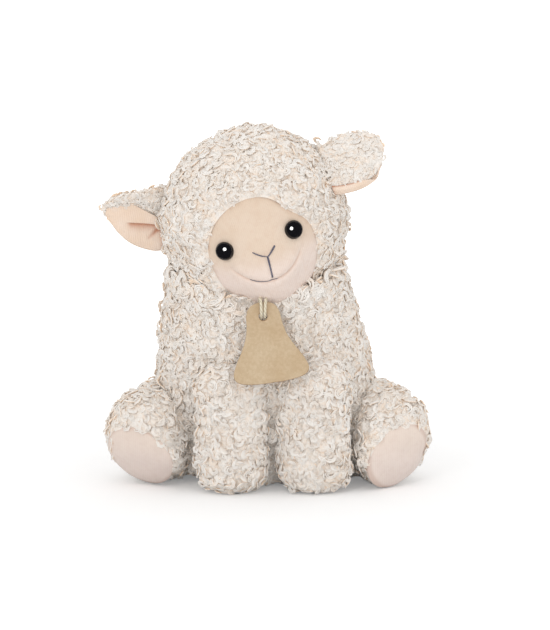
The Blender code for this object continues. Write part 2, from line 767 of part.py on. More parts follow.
def make_ear(side, head_pivot, hood):
    """One ear on its root in a groove of the hood."""
    outward = Vector(EAR_OUTWARD[side]).normalized()
    seat = Vector(EAR_DIRECTIONS[side]).normalized() * EAR_SEAT_RADIUS
    forward = Vector((0.0, -1.0, 0.0))
    level = (forward - outward * forward.dot(outward)).normalized()
    upward = outward.cross(level) * -SIDE_SIGNS[side]
    facing = level * math.cos(EAR_TWIST[side]) - upward * math.sin(EAR_TWIST[side])
    width_way = facing.cross(outward)
    rotation = Matrix((width_way, facing, outward)).transposed()
    pivot = new_pivot("ear_pivot_" + side, seat, rotation, head_pivot)
    new_piece("ear_" + side + "_cover", ear_cover_form(0.0), "fleece", pivot)
    new_piece("ear_" + side + "_lining", ear_lining_form(), "lining", pivot)
    groove_form = ear_cover_form(JOINT_GAP)
    groove = new_piece("ear_groove_" + side, groove_form, None, pivot, is_cutter=True)
    combine(hood, groove, "DIFFERENCE")


def limb_rings(limb, inset, frame):
    """A limb's rings: half an ellipsoid about its joint, then its stations outward along -Z."""
    along_radius = limb["along"] - inset
    side_radius = limb["side"] - inset
    depth_radius = limb["depth"] - inset
    floor = max(inset, -JOINT_GAP)
    rings = []
    for angle in ROOT_RING_ANGLES:
        outline = oval(limb["sides"], side_radius * math.cos(angle), depth_radius * math.cos(angle))
        z = -along_radius * math.sin(angle)
        rings.append([pressed_flat((x, y, z), floor, frame) for x, y in outline])
    reach = limb["reach"] - (inset if limb["closed"] else 0.0)
    down_slope = math.tan(limb.get("face_down", 0.0))
    out_slope = math.tan(limb.get("face_out", 0.0))
    roll_slope = math.tan(limb.get("roll", 0.0))
    for reach_share, side_share, depth_share, offset_share in limb["stations"]:
        half_x = limb["side"] * side_share - inset
        half_y = limb["depth"] * depth_share - inset
        offset = limb["depth"] * offset_share
        ring = []
        for x, y in oval(limb["sides"], half_x, half_y):
            slant = (y * down_slope + x * out_slope) * reach_share * reach_share
            lift = x * roll_slope * reach_share * reach_share
            place = (x, y + offset + lift, -reach * reach_share - slant)
            ring.append(pressed_flat(place, floor, frame))
        rings.append(ring)
    return rings


def make_limb(name, limb, pivot, wall):
    """A limb's cover, open at its root, its filling, and the room that the body leaves for it."""
    bpy.context.view_layer.update()
    frame = pivot.matrix_world
    outer = limb_rings(limb, 0.0, frame)
    inner = limb_rings(limb, wall, frame)
    closed = limb["closed"]
    cover_form = shell_form(
        (outer, None, middle_of(outer[-1]) if closed else None),
        (inner, None, middle_of(inner[-1]) if closed else None),
        opening="first" if closed else "both",
    )
    new_piece(name + "_cover", cover_form, "fleece", pivot)
    core = limb_rings(limb, wall + FILLING_GAP, frame)
    new_piece(name + "_stuffing", solid_form(core, middle_of(core[0]), middle_of(core[-1])), "filling", pivot)
    room = limb_rings(limb, -JOINT_GAP, frame)
    cap = (0.0, 0.0, limb["along"] + JOINT_GAP)
    room_form = solid_form(room, cap, middle_of(room[-1]))
    return new_piece(name + "_room", room_form, None, pivot, is_cutter=True)


def front_swing_room(name, limb, pivot):
    """The wedge that the leg's widest slice sweeps, and the leg's top once it is swung, as cutters."""
    widest_share = max(side_share for reach_share, side_share, depth_share, offset_share in limb["stations"])
    half_x = limb["side"] * widest_share + JOINT_GAP
    rings = []
    for step in range(FRONT_LEG_SWING_STEPS + 1):
        angle = FRONT_LEG_SWING * step / FRONT_LEG_SWING_STEPS
        way = Vector((0.0, -math.sin(angle), -math.cos(angle)))
        near = way * JOINT_GAP
        far = way * limb["along"]
        across = Vector((half_x, 0.0, 0.0))
        rings.append([near - across, near + across, far + across, far - across])
    fan = solid_form(rings, middle_of(rings[0]), middle_of(rings[-1]))
    turn = Matrix.Rotation(-FRONT_LEG_SWING, 3, "X")
    swung_pivot = new_pivot(name + "_swung", (0.0, 0.0, 0.0), turn, pivot)
    swung = []
    for z in (0.0, -limb["along"]):
        outline = oval(limb["sides"], half_x, limb["depth"] + JOINT_GAP)
        swung.append([(x, y, z) for x, y in outline])
    stub = solid_form(swung, middle_of(swung[0]), middle_of(swung[1]))
    return [
        new_piece(name + "_sweep", fan, None, pivot, is_cutter=True),
        new_piece(name + "_stub", stub, None, swung_pivot, is_cutter=True),
    ]


def make_front_leg(side):
    x = SHOULDER_SHIFT + SIDE_SIGNS[side] * SHOULDER_SPREAD
    pivot = new_pivot("shoulder_" + side, (x, SHOULDER_Y, SHOULDER_HEIGHT))
    limb = {
        "along": FRONT_ROOT_ALONG,
        "side": FRONT_ROOT_SIDE,
        "depth": FRONT_ROOT_ALONG,
        "reach": SHOULDER_HEIGHT + FLOOR_PRESS,
        "stations": FRONT_LEG_STATION_SHARES,
        "sides": FRONT_LEG_SIDES,
        "closed": True,
    }
    room = make_limb("front_leg_" + side, limb, pivot, FLEECE_WALL)
    return [room] + front_swing_room("front_leg_" + side, limb, pivot)


def make_hind_leg(side):
    sign = SIDE_SIGNS[side]
    outward = Vector((sign * math.sin(HIND_LEG_SPREAD), -math.cos(HIND_LEG_SPREAD), 0.0))
    upward = Vector((0.0, 0.0, 1.0))
    side_way = upward.cross(-outward)
    rotation = Matrix((side_way, upward, -outward)).transposed()
    pivot = new_pivot("hip_" + side, (sign * HIP_SPREAD, HIP_Y, HIP_HEIGHT), rotation)
    limb = {
        "along": HIND_ROOT_ALONG,
        "side": HIND_ROOT_ALONG,
        "depth": HIND_ROOT_RISE,
        "reach": HIND_LEG_REACH,
        "stations": HIND_LEG_STATION_SHARES,
        "sides": HIND_LEG_SIDES,
        "closed": False,
        "face_down": SOLE_DOWN[side],
        "face_out": SOLE_OUT[side] * -sign,
        "roll": SOLE_ROLL[side] * -sign,
    }
    room = make_limb("hind_leg_" + side, limb, pivot, FLEECE_WALL)
    new_piece("hind_leg_" + side + "_sole", sole_form(limb, pivot.matrix_world), "sole", pivot)
    return [room]


def sole_form(limb, frame):
    """The oval sole, crowned a little, over the open end of the leg."""
    end_ring = limb_rings(limb, 0.0, frame)[-1]
    middle = middle_of(end_ring)
    normal = Vector((math.tan(limb["face_out"]), math.tan(limb["face_down"]), 1.0)).normalized() * -1.0
    layers = ((SEAM_GAP, 1.0), (SOLE_THICKNESS, 1.0), (SOLE_THICKNESS, SOLE_EDGE_SHARE))
    lifts = (0.0, SEAM_GAP, SOLE_CROWN / 2.0)
    rings = []
    for (height, size_share), lift in zip(layers, lifts):
        rise = normal * (height + lift)
        rings.append([middle + (point - middle) * size_share + rise for point in end_ring])
    crown = SOLE_THICKNESS + SOLE_CROWN
    crown_rise = normal * crown
    rings.append([middle + (point - middle) * SOLE_MIDDLE_SHARE + crown_rise for point in end_ring])
    for ring in rings:
        ring[:] = [pressed_flat(point, SEAM_GAP, frame) for point in ring]
    return solid_form(rings, middle_of(rings[0]), middle_of(rings[-1]))


def make_tail():
    pivot = new_pivot("tail_root", (0.0, TAIL_Y, TAIL_HEIGHT))
    limb = {
        "along": TAIL_ROOT_RADIUS,
        "side": TAIL_ROOT_RADIUS,
        "depth": TAIL_ROOT_RADIUS,
        "reach": TAIL_REACH,
        "stations": TAIL_STATION_SHARES,
        "sides": TAIL_SIDES,
        "closed": True,
    }
    room = make_limb("tail", limb, pivot, TAIL_WALL)
    radius = TAIL_ROOT_RADIUS + JOINT_GAP
    rings = []
    for angle in reversed(ROOT_RING_ANGLES):
        outline = oval(TAIL_SIDES, radius * math.cos(angle), radius * math.cos(angle))
        rings.append([(x, y, radius * math.sin(angle)) for x, y in outline])
    bowl_form = solid_form(rings, middle_of(rings[0]), (0.0, 0.0, -radius))
    bowl = new_piece("tail_bowl", bowl_form, None, pivot, is_cutter=True)
    return [room, bowl]


def tag_outline():
    """The bell-shaped card's edge, clockwise from its top, with the hole at the origin."""
    half = []
    for height_share, width_share in TAG_TOP_SHARES:
        half.append((TAG_WIDTH / 2.0 * width_share, TAG_RISE * height_share))
    for drop_share, width_share in TAG_EDGE_SHARES:
        half.append((TAG_WIDTH / 2.0 * width_share, -TAG_DROP * drop_share))
    mirrored = [(-x, z) for x, z in reversed(half[1:-1])]
    return half + mirrored


def make_tag():
    """The card on its pivot through the hole, with the hole cut through it."""
    lean = Matrix.Rotation(TAG_LEAN, 3, "X")
    roll = Matrix.Rotation(TAG_ROLL, 3, "Y")
    pivot = new_pivot("tag_pivot", (TAG_HOLE_X, TAG_HOLE_Y, TAG_HOLE_Z), lean @ roll)
    bm = bmesh.new()
    outline = tag_outline()
    front = [bm.verts.new((x, -TAG_THICKNESS / 2.0, z)) for x, z in outline]
    back = [bm.verts.new((x, TAG_THICKNESS / 2.0, z)) for x, z in outline]
    bm.faces.new(front)
    bm.faces.new(list(reversed(back)))
    add_rim(bm, front, back)
    card = new_piece("hang_tag", bm, "card", pivot, is_flat=True)
    punch = bmesh.new()
    rings = []
    for y in (-TAG_THICKNESS, TAG_THICKNESS):
        rings.append([(x, y, z) for x, z in oval(TAG_HOLE_SIDES, TAG_HOLE_RADIUS, TAG_HOLE_RADIUS)])
    add_wall(punch, rings, middle_of(rings[0]), middle_of(rings[1]))
    combine(card, new_piece("tag_punch", punch, None, pivot, is_cutter=True), "DIFFERENCE")


def smooth_route(points, steps):
    """More points on one smooth curve through the given ones."""
    route = []
    count = len(points)
    for index in range(count - 1):
        before = points[max(index - 1, 0)]
        start = points[index]
        end = points[index + 1]
        after = points[min(index + 2, count - 1)]
        for step in range(steps):
            t = step / steps
            tangent_in = (end - before) / 2.0
            tangent_out = (after - start) / 2.0
            place = start * (2 * t**3 - 3 * t**2 + 1) + tangent_in * (t**3 - 2 * t**2 + t)
            place += end * (3 * t**2 - 2 * t**3) + tangent_out * (t**3 - t**2)
            route.append(place)
    route.append(points[-1])
    return route


def make_cord():
    """The cream cord: from the chest through the card's hole, round a bight, and back to the chest."""
    left = [Vector(point) for point in CORD_HALF_ROUTE]
    right = [Vector((2.0 * CORD_FOOT[0] - x, y, z)) for x, y, z in reversed(CORD_HALF_ROUTE)]
    route = smooth_route(left + [Vector(CORD_FOOT)] + right, CORD_CURVE_STEPS)
    curve = bpy.data.curves.new("tag_cord", "CURVE")
    curve.dimensions = "3D"
    curve.bevel_depth = CORD_DIAMETER / 2.0
    curve.bevel_resolution = 2
    curve.use_fill_caps = True
    curve.render_resolution_u = 0
    spline = curve.splines.new("POLY")
    spline.points.add(len(route) - 1)
    for point, place in zip(spline.points, route):
        point.co = (place.x, place.y, place.z, 1.0)
    curve.materials.append(material_for("cord"))
    cord = bpy.data.objects.new("tag_cord", curve)
    bpy.context.scene.collection.objects.link(cord)


def make_sheep():
    clear_scene()
    turn = Matrix.Rotation(HEAD_TURN, 3, "Z")
    nod = Matrix.Rotation(HEAD_NOD, 3, "X")
    tilt = Matrix.Rotation(HEAD_TILT, 3, "Y")
    head_pivot = new_pivot("head_centre", (HEAD_X, HEAD_Y, HEAD_Z), turn @ nod @ tilt)
    hood, face, head_filling = make_head(head_pivot)
    make_stitches(head_pivot)
    cutters = [make_head_socket(head_pivot)]
    for side in SIDE_SIGNS:
        make_eye(side, head_pivot, face, head_filling)
        make_ear(side, head_pivot, hood)
        cutters += make_front_leg(side)
        cutters += make_hind_leg(side)
    cutters += make_tail()
    make_body(cutters)
    make_tag()
    make_cord()


make_sheep()
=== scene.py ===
import json
import math

import bmesh
import bpy
import numpy as np
from mathutils import Matrix, Vector
from mathutils.bvhtree import BVHTree

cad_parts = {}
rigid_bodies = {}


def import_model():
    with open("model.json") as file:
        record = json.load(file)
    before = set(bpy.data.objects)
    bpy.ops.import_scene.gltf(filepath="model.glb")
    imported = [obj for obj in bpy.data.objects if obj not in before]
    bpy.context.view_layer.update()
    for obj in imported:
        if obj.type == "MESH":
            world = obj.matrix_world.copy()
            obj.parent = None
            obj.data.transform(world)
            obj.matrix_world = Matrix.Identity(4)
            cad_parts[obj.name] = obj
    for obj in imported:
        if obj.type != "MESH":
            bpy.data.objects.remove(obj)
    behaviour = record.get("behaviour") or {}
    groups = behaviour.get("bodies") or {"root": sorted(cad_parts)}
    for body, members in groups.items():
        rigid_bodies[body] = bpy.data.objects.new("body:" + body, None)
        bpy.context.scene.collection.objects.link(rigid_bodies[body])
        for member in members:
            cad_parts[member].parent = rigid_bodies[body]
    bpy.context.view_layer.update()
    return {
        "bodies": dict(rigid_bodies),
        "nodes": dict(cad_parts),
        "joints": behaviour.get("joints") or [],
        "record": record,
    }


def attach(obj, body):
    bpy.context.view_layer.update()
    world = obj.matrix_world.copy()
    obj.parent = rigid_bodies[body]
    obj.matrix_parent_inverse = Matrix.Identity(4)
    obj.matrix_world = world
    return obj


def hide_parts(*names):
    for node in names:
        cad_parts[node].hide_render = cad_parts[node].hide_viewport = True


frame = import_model()
scene = bpy.context.scene

# Sizes, as in the CAD

PRESS = 0.0005
FLOOR_TOUCH = 0.0004
RIB_STEP = 0.0013
PILE = 0.0045
BED = 0.0020

BODY_HEIGHT = 0.166
BODY_WIDTH = 0.155
BODY_DEPTH = 0.123
BODY_BACK = 0.020
BODY_LEAN = 0.0078
BODY_ROUNDNESS = 2.3
BODY_ROWS = (
    (0.0, 0.64, 0.62, 1.00, 0.0),
    (0.02, 0.80, 0.78, 0.98, 0.0),
    (0.075, 0.92, 0.88, 1.00, 0.03),
    (0.18, 0.98, 0.935, 0.98, 0.08),
    (0.315, 1.0, 0.97, 0.88, 0.20),
    (0.45, 0.985, 1.0, 0.68, 0.36),
    (0.59, 0.94, 1.0, 0.43, 0.56),
    (0.725, 0.89, 0.945, 0.19, 0.76),
    (0.83, 0.83, 0.86, 0.05, 0.90),
    (0.905, 0.735, 0.74, 0.02, 1.0),
    (0.965, 0.54, 0.52, 0.05, 1.0),
)

HEAD_CENTRE = Vector((-0.0108, -0.010, 0.187))
HEAD_TURN = math.radians(7.0)
HEAD_NOD = math.radians(12.0)
HEAD_TILT = math.radians(-17.0)
HEAD_R = 0.0615
HEAD_BACK_R = 0.056
HEAD = (
    Matrix.Translation(HEAD_CENTRE)
    @ Matrix.Rotation(HEAD_TURN, 4, "Z")
    @ Matrix.Rotation(HEAD_NOD, 4, "X")
    @ Matrix.Rotation(HEAD_TILT, 4, "Y")
)

FRONT_ROWS = (
    (0.20, 1.01, 1.0, 0.0),
    (0.45, 0.97, 0.95, -0.02),
    (0.70, 1.0, 0.97, -0.04),
    (0.87, 0.95, 0.90, -0.04),
    (0.965, 0.78, 0.72, -0.03),
    (1.0, 0.55, 0.50, -0.02),
)
HIND_ROWS = (
    (0.30, 0.98, 0.97, -0.03),
    (0.58, 0.97, 0.95, -0.05),
    (0.80, 0.96, 0.90, -0.09),
    (0.93, 0.92, 0.78, -0.19),
    (1.0, 0.84, 0.62, -0.32),
)
TAIL_ROWS = (
    (0.34, 1.05, 0.95, 0.80),
    (0.62, 1.15, 1.02, 1.05),
    (0.86, 0.90, 0.85, 1.0),
    (0.97, 0.50, 0.50, 0.9),
)
EAR_REACH = {"left": 0.0482, "right": 0.0440}
EAR_HALF_WIDTH = 0.025
EAR_HALF = 0.0030
EAR_ROUNDNESS = 3.2
EAR_EDGE_BED = 0.0026
EAR_ROOT = 0.0040
EAR_CUP = 0.0055
EAR_SEAT = 0.0668
EAR_ROWS = {
    "left": (
        (0.0, 0.96, 1.06, 1.33, 0.0),
        (0.12, 0.94, 1.10, 1.12, 0.2),
        (0.28, 0.86, 1.04, 1.0, 0.55),
        (0.42, 0.79, 0.94, 1.0, 0.9),
        (0.56, 0.72, 0.80, 0.97, 1.0),
        (0.74, 0.60, 0.54, 0.9, 0.8),
        (0.88, 0.44, 0.36, 0.75, 0.5),
        (0.96, 0.29, 0.24, 0.55, 0.3),
        (1.0, 0.16, 0.13, 0.4, 0.1),
    ),
    "right": (
        (0.0, 0.68, 0.95, 1.33, 0.0),
        (0.12, 0.82, 1.0, 1.12, 0.2),
        (0.28, 0.95, 1.0, 1.0, 0.5),
        (0.42, 0.98, 0.97, 1.0, 0.7),
        (0.56, 0.96, 0.91, 0.97, 0.8),
        (0.74, 0.85, 0.78, 0.9, 0.7),
        (0.88, 0.64, 0.57, 0.75, 0.45),
        (0.96, 0.40, 0.36, 0.55, 0.3),
        (1.0, 0.18, 0.16, 0.4, 0.1),
    ),
}
EAR_BARE_FROM = ((0.05, 0.0063), (0.19, 0.0030), (0.34, 0.0), (0.55, -0.0043), (0.82, 0.0), (0.92, 0.0050))
EAR_BARE_TO = 0.86
EAR_HEM = {"left": 0.0, "right": 0.0050}
EAR_SHIFT = {"left": (0.0062, 0.0, -0.0004), "right": (-0.0045, 0.0, 0.0016)}
SIGN = {"left": -1.0, "right": 1.0}
EAR_AT = {"left": (-0.934, 0.13, 0.32), "right": (0.929, -0.10, 0.327)}
EAR_OUT = {"left": (-0.933, 0.0, 0.396), "right": (0.99, -0.09, 0.046)}
EAR_TWIST = {"left": math.radians(-2.0), "right": math.radians(128.0)}
SOLE_DOWN = {"left": math.radians(33.0), "right": math.radians(13.0)}
SOLE_OUT = {"left": 0.0, "right": math.radians(-9.0)}
SOLE_ROLL = {"left": math.radians(3.0), "right": math.radians(12.0)}

TAG_HOLE = Vector((-0.0040, -0.0635, 0.1277))
TAG_BACK = math.radians(-8.0)
TAG_LEAN = math.radians(-8.5)
TAG_TURN = Matrix.Rotation(TAG_BACK, 4, "X") @ Matrix.Rotation(TAG_LEAN, 4, "Y")
TAG_FRAME = Matrix.Translation(TAG_HOLE) @ TAG_TURN
CORD_DIAMETER = 0.0020
CORD_HALF = (
    (-0.0068, -0.0560, 0.1340),
    (-0.0067, -0.0570, 0.1366),
    (-0.0064, -0.0589, 0.1389),
    (-0.0061, -0.0615, 0.1399),
    (-0.0057, -0.0644, 0.1387),
    (-0.0054, -0.0662, 0.1358),
    (-0.0053, -0.0666, 0.1325),
    (-0.0052, -0.0657, 0.1298),
    (-0.0052, -0.0635, 0.1277),
    (-0.0055, -0.0614, 0.1258),
    (-0.0066, -0.0603, 0.1232),
    (-0.0079, -0.0600, 0.1204),
    (-0.0080, -0.0598, 0.1176),
    (-0.0065, -0.0597, 0.1152),
)
CORD_FOOT = (-0.0040, -0.0597, 0.1143)

# The fleece's long swells and its tufts

SWELL = 0.0008
SWELL_LENGTH = 0.05
TUFT = 0.0030
TUFT_SPACING = 0.0115
SMALL_TUFT_SHARE = 0.45
TUFT_SUNK_SHARE = 0.7
PATCH_LENGTH = 0.02
CELL_SOFTNESS = 0.6
CELL_HASH = ((12.9898, 78.233, 37.719), (39.346, 11.135, 83.155), (73.156, 52.235, 9.151))
CELL_HASH_SIZE = 43758.5453


# Small helpers


def spread(rows, count):
    """Rows of a table read at `count` even steps, on a smooth curve through them."""
    rows = np.array(rows, float)
    at = np.linspace(0, len(rows) - 1, count)
    i = np.clip(at.astype(int), 0, len(rows) - 2)
    t = (at - i)[:, None]
    before = rows[np.maximum(i - 1, 0)]
    a = rows[i]
    b = rows[i + 1]
    after = rows[np.minimum(i + 2, len(rows) - 1)]
    tan_a = (b - before) / 2
    tan_b = (after - a) / 2
    return (
        a * (2 * t**3 - 3 * t**2 + 1)
        + tan_a * (t**3 - 2 * t**2 + t)
        + b * (3 * t**2 - 2 * t**3)
        + tan_b * (t**3 - t**2)
    )


def oval(sides, half_x, half_y, roundness=2.0):
    """The points of an oval, which is the squarer the higher its roundness is."""
    turn = np.linspace(0, 2 * np.pi, sides, endpoint=False)
    x = np.abs(np.cos(turn)) ** (2 / roundness) * np.sign(np.cos(turn)) * half_x
    y = np.abs(np.sin(turn)) ** (2 / roundness) * np.sign(np.sin(turn)) * half_y
    return x, y


def placed(matrix, points):
    """The points moved by a matrix."""
    m = np.array(matrix, float)
    return points @ m[:3, :3].T + m[:3, 3]


def placed_rings(matrix, rings):
    """Rings of points moved by a matrix."""
    rings = np.array(rings)
    return placed(matrix, rings.reshape(-1, 3)).reshape(rings.shape)


def smoothstep(low, high, x):
    """0 up to low, 1 from high on, and a smooth rise between them."""
    t = np.clip((x - low) / (high - low), 0, 1)
    return t * t * (3 - 2 * t)


def waves(points, scale, seed):
    """A smooth random field over points, about -1 to 1, made of sine waves of that size."""
    rng = np.random.default_rng(seed)
    total = np.zeros(len(points))
    for _ in range(7):
        direction = rng.normal(size=3)
        direction *= 2 * np.pi / scale / np.linalg.norm(direction) * rng.uniform(0.6, 1.4)
        total += np.sin(points @ direction + rng.uniform(0, 6.3))
    return total / 3.5


def cell_gap(points, spacing, seed):
    """0 on the borders between random cells of that spacing, and 1 well inside a cell."""
    grid = np.floor(points / spacing)
    first = np.full(len(points), 9.0)
    second = np.full(len(points), 9.0)
    for step in np.ndindex(3, 3, 3):
        corner = grid + np.array(step) - 1.0
        jitter = np.stack([np.sin(corner @ np.array(k) + seed) * CELL_HASH_SIZE for k in CELL_HASH], -1)
        centre = corner + jitter - np.floor(jitter)
        gap = np.linalg.norm(points / spacing - centre, axis=1)
        second = np.where(gap < first, first, np.minimum(second, gap))
        first = np.minimum(first, gap)
    return np.clip((second - first) / CELL_SOFTNESS, 0, 1)


def clumps(points, seed):
    """How far the fleece is puffed out in tufts, and how near each point lies to the crevices between tufts,
    where the materials paint shade.
    """
    large = cell_gap(points, TUFT_SPACING, seed)
    small = cell_gap(points, TUFT_SPACING * 0.5, seed + 11)
    height = waves(points, SWELL_LENGTH, seed) * SWELL
    height += TUFT * (1 - (1 - large) ** 2)
    height += SMALL_TUFT_SHARE * TUFT * (1 - (1 - small) ** 2) - TUFT_SUNK_SHARE * TUFT
    # Where painted shade goes: deep between the large tufts, less between the small ones.
    crevice_shade = (1 - large) ** 3 * smoothstep(-0.1, 0.5, waves(points, PATCH_LENGTH, seed + 5))
    return height, np.maximum(crevice_shade, 0.5 * (1 - small) ** 4)


def signed_volume(points, faces):
    """Six times the volume that the faces enclose, negative where they point inwards."""
    total = 0.0
    for face in faces:
        first, *rest = (Vector(points[corner]) for corner in face)
        for second, third in zip(rest, rest[1:]):
            total += first.dot(second.cross(third))
    return total


def ring_mesh(name, rings, first_tip=None, last_tip=None, closed=True):
    """A smooth mesh through rings of points, an array of rings by sides by 3."""
    rings = np.array(rings, float)
    count, sides = rings.shape[:2]
    here = np.arange(count - 1)[:, None] * sides
    beyond = here + sides
    j = np.arange(sides if closed else sides - 1)[None, :]
    k = (j + 1) % sides
    quads = np.stack([here + j, here + k, beyond + k, beyond + j], -1).reshape(-1, 4)
    faces = [tuple(quad) for quad in quads.tolist()]
    points = rings.reshape(-1, 3).tolist()
    for tip, base in ((first_tip, 0), (last_tip, (count - 1) * sides)):
        if tip is None:
            continue
        points.append(list(tip))
        end = len(points) - 1
        for a in range(sides):
            b = (a + 1) % sides
            faces.append((base + b, base + a, end) if base == 0 else (base + a, base + b, end))
    mesh = bpy.data.meshes.new(name)
    mesh.from_pydata(points, [], faces)
    mesh.validate()
    if signed_volume(points, faces) < 0:
        mesh.flip_normals()
    mesh.shade_smooth()
    return mesh


def coords(mesh):
    """The places of a mesh's vertices."""
    out = np.zeros(len(mesh.vertices) * 3)
    mesh.vertices.foreach_get("co", out)
    return out.reshape(-1, 3)


def normals(mesh):
    """The normals at a mesh's vertices."""
    out = np.zeros(len(mesh.vertices) * 3)
    mesh.vertices.foreach_get("normal", out)
    return out.reshape(-1, 3)


def set_coords(mesh, points):
    """Moves a mesh's vertices to those places."""
    mesh.vertices.foreach_set("co", np.asarray(points, float).ravel())
    mesh.update()


def set_value(mesh, name, values):
    """Stores one number for each vertex, which the wool and the materials read by its name."""
    attribute = mesh.attributes.get(name) or mesh.attributes.new(name, "FLOAT", "POINT")
    attribute.data.foreach_set("value", np.asarray(values, np.float32))


def add_piece(name, mesh, material, body, replaced=()):
    """A piece of the sheep on its body."""
    piece = bpy.data.objects.new(name, mesh)
    scene.collection.objects.link(piece)
    mesh.materials.clear()
    mesh.materials.append(material)
    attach(piece, body)
    if replaced:
        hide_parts(*replaced)
    return piece


def tree_of(mesh):
    """A search tree that finds the nearest place on a mesh."""
    points = coords(mesh)
    return BVHTree.FromPolygons([Vector(p) for p in points], [tuple(p.vertices) for p in mesh.polygons])


def depth_in(tree, points):
    """How deep each point lies in a closed form, negative outside it."""
    out = np.zeros(len(points))
    for index, point in enumerate(points):
        place, normal, _, distance = tree.find_nearest(Vector(point))
        out[index] = distance if (Vector(point) - place).dot(normal) < 0 else -distance
    return out


def always_inside(tree, points, poses, depth):
    """True for points deeper than depth in the form, in each pose. A pose turns the points."""
    inside = np.ones(len(points), bool)
    for pose in poses:
        inside &= depth_in(tree, placed(pose, points)) > depth
    return inside


def turned_about(place, axis, degrees):
    """A turn by that angle about an axis through a place."""
    turn = Matrix.Rotation(math.radians(degrees), 4, Vector(axis))
    return Matrix.Translation(Vector(place)) @ turn @ Matrix.Translation(-Vector(place))


# Materials


def linear(red, green, blue):
    """A colour as a screen shows it, in the linear values that a material takes."""
    out = []
    for value in (red, green, blue):
        v = value / 255
        out.append(v / 12.92 if v <= 0.04045 else ((v + 0.055) / 1.055) ** 2.4)
    return (*out, 1.0)


WOOL_MAIN = linear(242, 235, 227)
WOOL_PALE = linear(246, 241, 235)
WOOL_WARM = linear(246, 231, 216)
WOOL_TIP = linear(249, 246, 242)
WOOL_SHADE = linear(246, 226, 205)
# Warm colour painted as shade in the crevices between tufts and at the roots and undersides of the curls.
WOOL_PAINTED_SHADE = linear(252, 226, 199)
VELOUR_BLOOM = linear(242, 228, 215)
FACE_MAIN = linear(226, 205, 184)
FACE_LOW = linear(240, 223, 213)
FACE_SHADE = linear(206, 168, 142)
SOLE_MAIN = linear(235, 219, 207)
# Colour painted as shade towards the bottom of the soles.
SOLE_LOW_SHADE = linear(233, 218, 210)
SOLE_SHADE = linear(208, 182, 168)
LINING_MAIN = linear(240, 217, 196)
LINING_PALE = linear(244, 226, 211)
# Colour painted as shade between the lining's ribs.
LINING_RIB_SHADE = linear(222, 190, 166)
# Reddish colour painted as shade in the lining's folds.
LINING_FOLD_SHADE = linear(188, 126, 96)
EYE_BLACK = linear(8, 8, 12)
EYE_SCUFF = linear(15, 14, 20)
THREAD_SHADE = linear(84, 82, 100)
THREAD_LIGHT = linear(124, 122, 142)
CARD_MAIN = linear(199, 175, 143)
CARD_PALE = linear(207, 186, 156)
CARD_FIBRE = linear(168, 138, 100)
CARD_FLECK = linear(226, 206, 176)
CARD_CUT = linear(140, 98, 66)
CORD_SHADE = linear(196, 180, 146)
CORD_LIGHT = linear(238, 229, 206)
FLOOR_PALE = (0.85, 0.85, 0.85, 1.0)
FLOOR_MIRRORED = (0.12, 0.12, 0.12, 1.0)
WHITE = (1.0, 1.0, 1.0, 1.0)

FULL_TURN = 2.0 * math.pi
CURL_CELL = 0.0065
CURL_SWING = 1.6
STRAND_STEP = 0.0012
PLIES = 3
THREAD_LAY = 4200.0
CORD_LAY = 2100.0
FLOOR_SHADOW_REACH = 0.14
FLOOR_WHITE_FROM = 0.60
FLOOR_GLOW_NEAR = 0.20
FLOOR_GLOW_FAR = 1.0


class Nodes:
    """A shader's node tree, whose nodes are added in one line each."""

    def __init__(self, tree):
        self.nodes = tree.nodes
        self.links = tree.links

    def node(self, kind, inputs=None, **settings):
        node = self.nodes.new(kind)
        for key, value in settings.items():
            setattr(node, key, value)
        for key, value in (inputs or {}).items():
            self.put(node.inputs[key], value)
        return node

    def put(self, socket, value):
        if isinstance(value, bpy.types.NodeSocket):
            self.links.new(value, socket)
        else:
            socket.default_value = value

    def place(self):
        return self.node("ShaderNodeTexCoord").outputs["Object"]

    def value(self, name):
        return self.node("ShaderNodeAttribute", attribute_name=name).outputs["Fac"]

    def noise(self, scale, detail=2.0, rough=0.5, warp=0.0):
        inputs = {"Vector": self.place(), "Scale": scale, "Detail": detail, "Roughness": rough}
        inputs["Distortion"] = warp
        return self.node("ShaderNodeTexNoise", inputs).outputs["Fac"]

    def maths(self, operation, a, b=0.5):
        return self.node("ShaderNodeMath", {0: a, 1: b}, operation=operation).outputs[0]

    def vectors(self, operation, a, b=(0.0, 0.0, 0.0), scale=1.0):
        inputs = {0: a, "Scale": scale} if operation == "SCALE" else {0: a, 1: b}
        node = self.node("ShaderNodeVectorMath", inputs, operation=operation)
        return node.outputs["Value" if operation in ("DISTANCE", "LENGTH") else "Vector"]

    def ramp(self, value, low, high, to_low=0.0, to_high=1.0):
        inputs = {"Value": value, "From Min": low, "From Max": high, "To Min": to_low, "To Max": to_high}
        return self.node("ShaderNodeMapRange", inputs, interpolation_type="SMOOTHSTEP").outputs["Result"]

    def mix(self, factor, a, b):
        return self.node("ShaderNodeMix", {0: factor, 6: a, 7: b}, data_type="RGBA").outputs[2]

    def bump(self, height, distance, strength):
        inputs = {"Height": height, "Distance": distance, "Strength": strength}
        return self.node("ShaderNodeBump", inputs).outputs["Normal"]

    def lay(self, plies, radians_per_metre):
        """The angle of the plies of a twisted cord, from the way round it and along it."""
        uv = self.node("ShaderNodeAttribute", attribute_name="tube_uv").outputs["Vector"]
        split = self.node("ShaderNodeSeparateXYZ", {0: uv})
        around = self.maths("MULTIPLY", split.outputs[0], FULL_TURN * plies)
        return self.maths("ADD", around, self.maths("MULTIPLY", split.outputs[1], radians_per_metre))


class Paint(Nodes):
    """A material, with its one shader."""

    def __init__(self, name):
        self.material = bpy.data.materials.new(name)
        self.material.use_nodes = True
        super().__init__(self.material.node_tree)
        self.shader = self.nodes["Principled BSDF"]

    def set(self, **values):
        for key, value in values.items():
            self.put(self.shader.inputs[key.replace("_", " ")], value)

    def effect(self, group, **inputs):
        node = self.node("ShaderNodeGroup", node_tree=group)
        for key, value in inputs.items():
            self.put(node.inputs[key.replace("_", " ")], value)
        return node.outputs


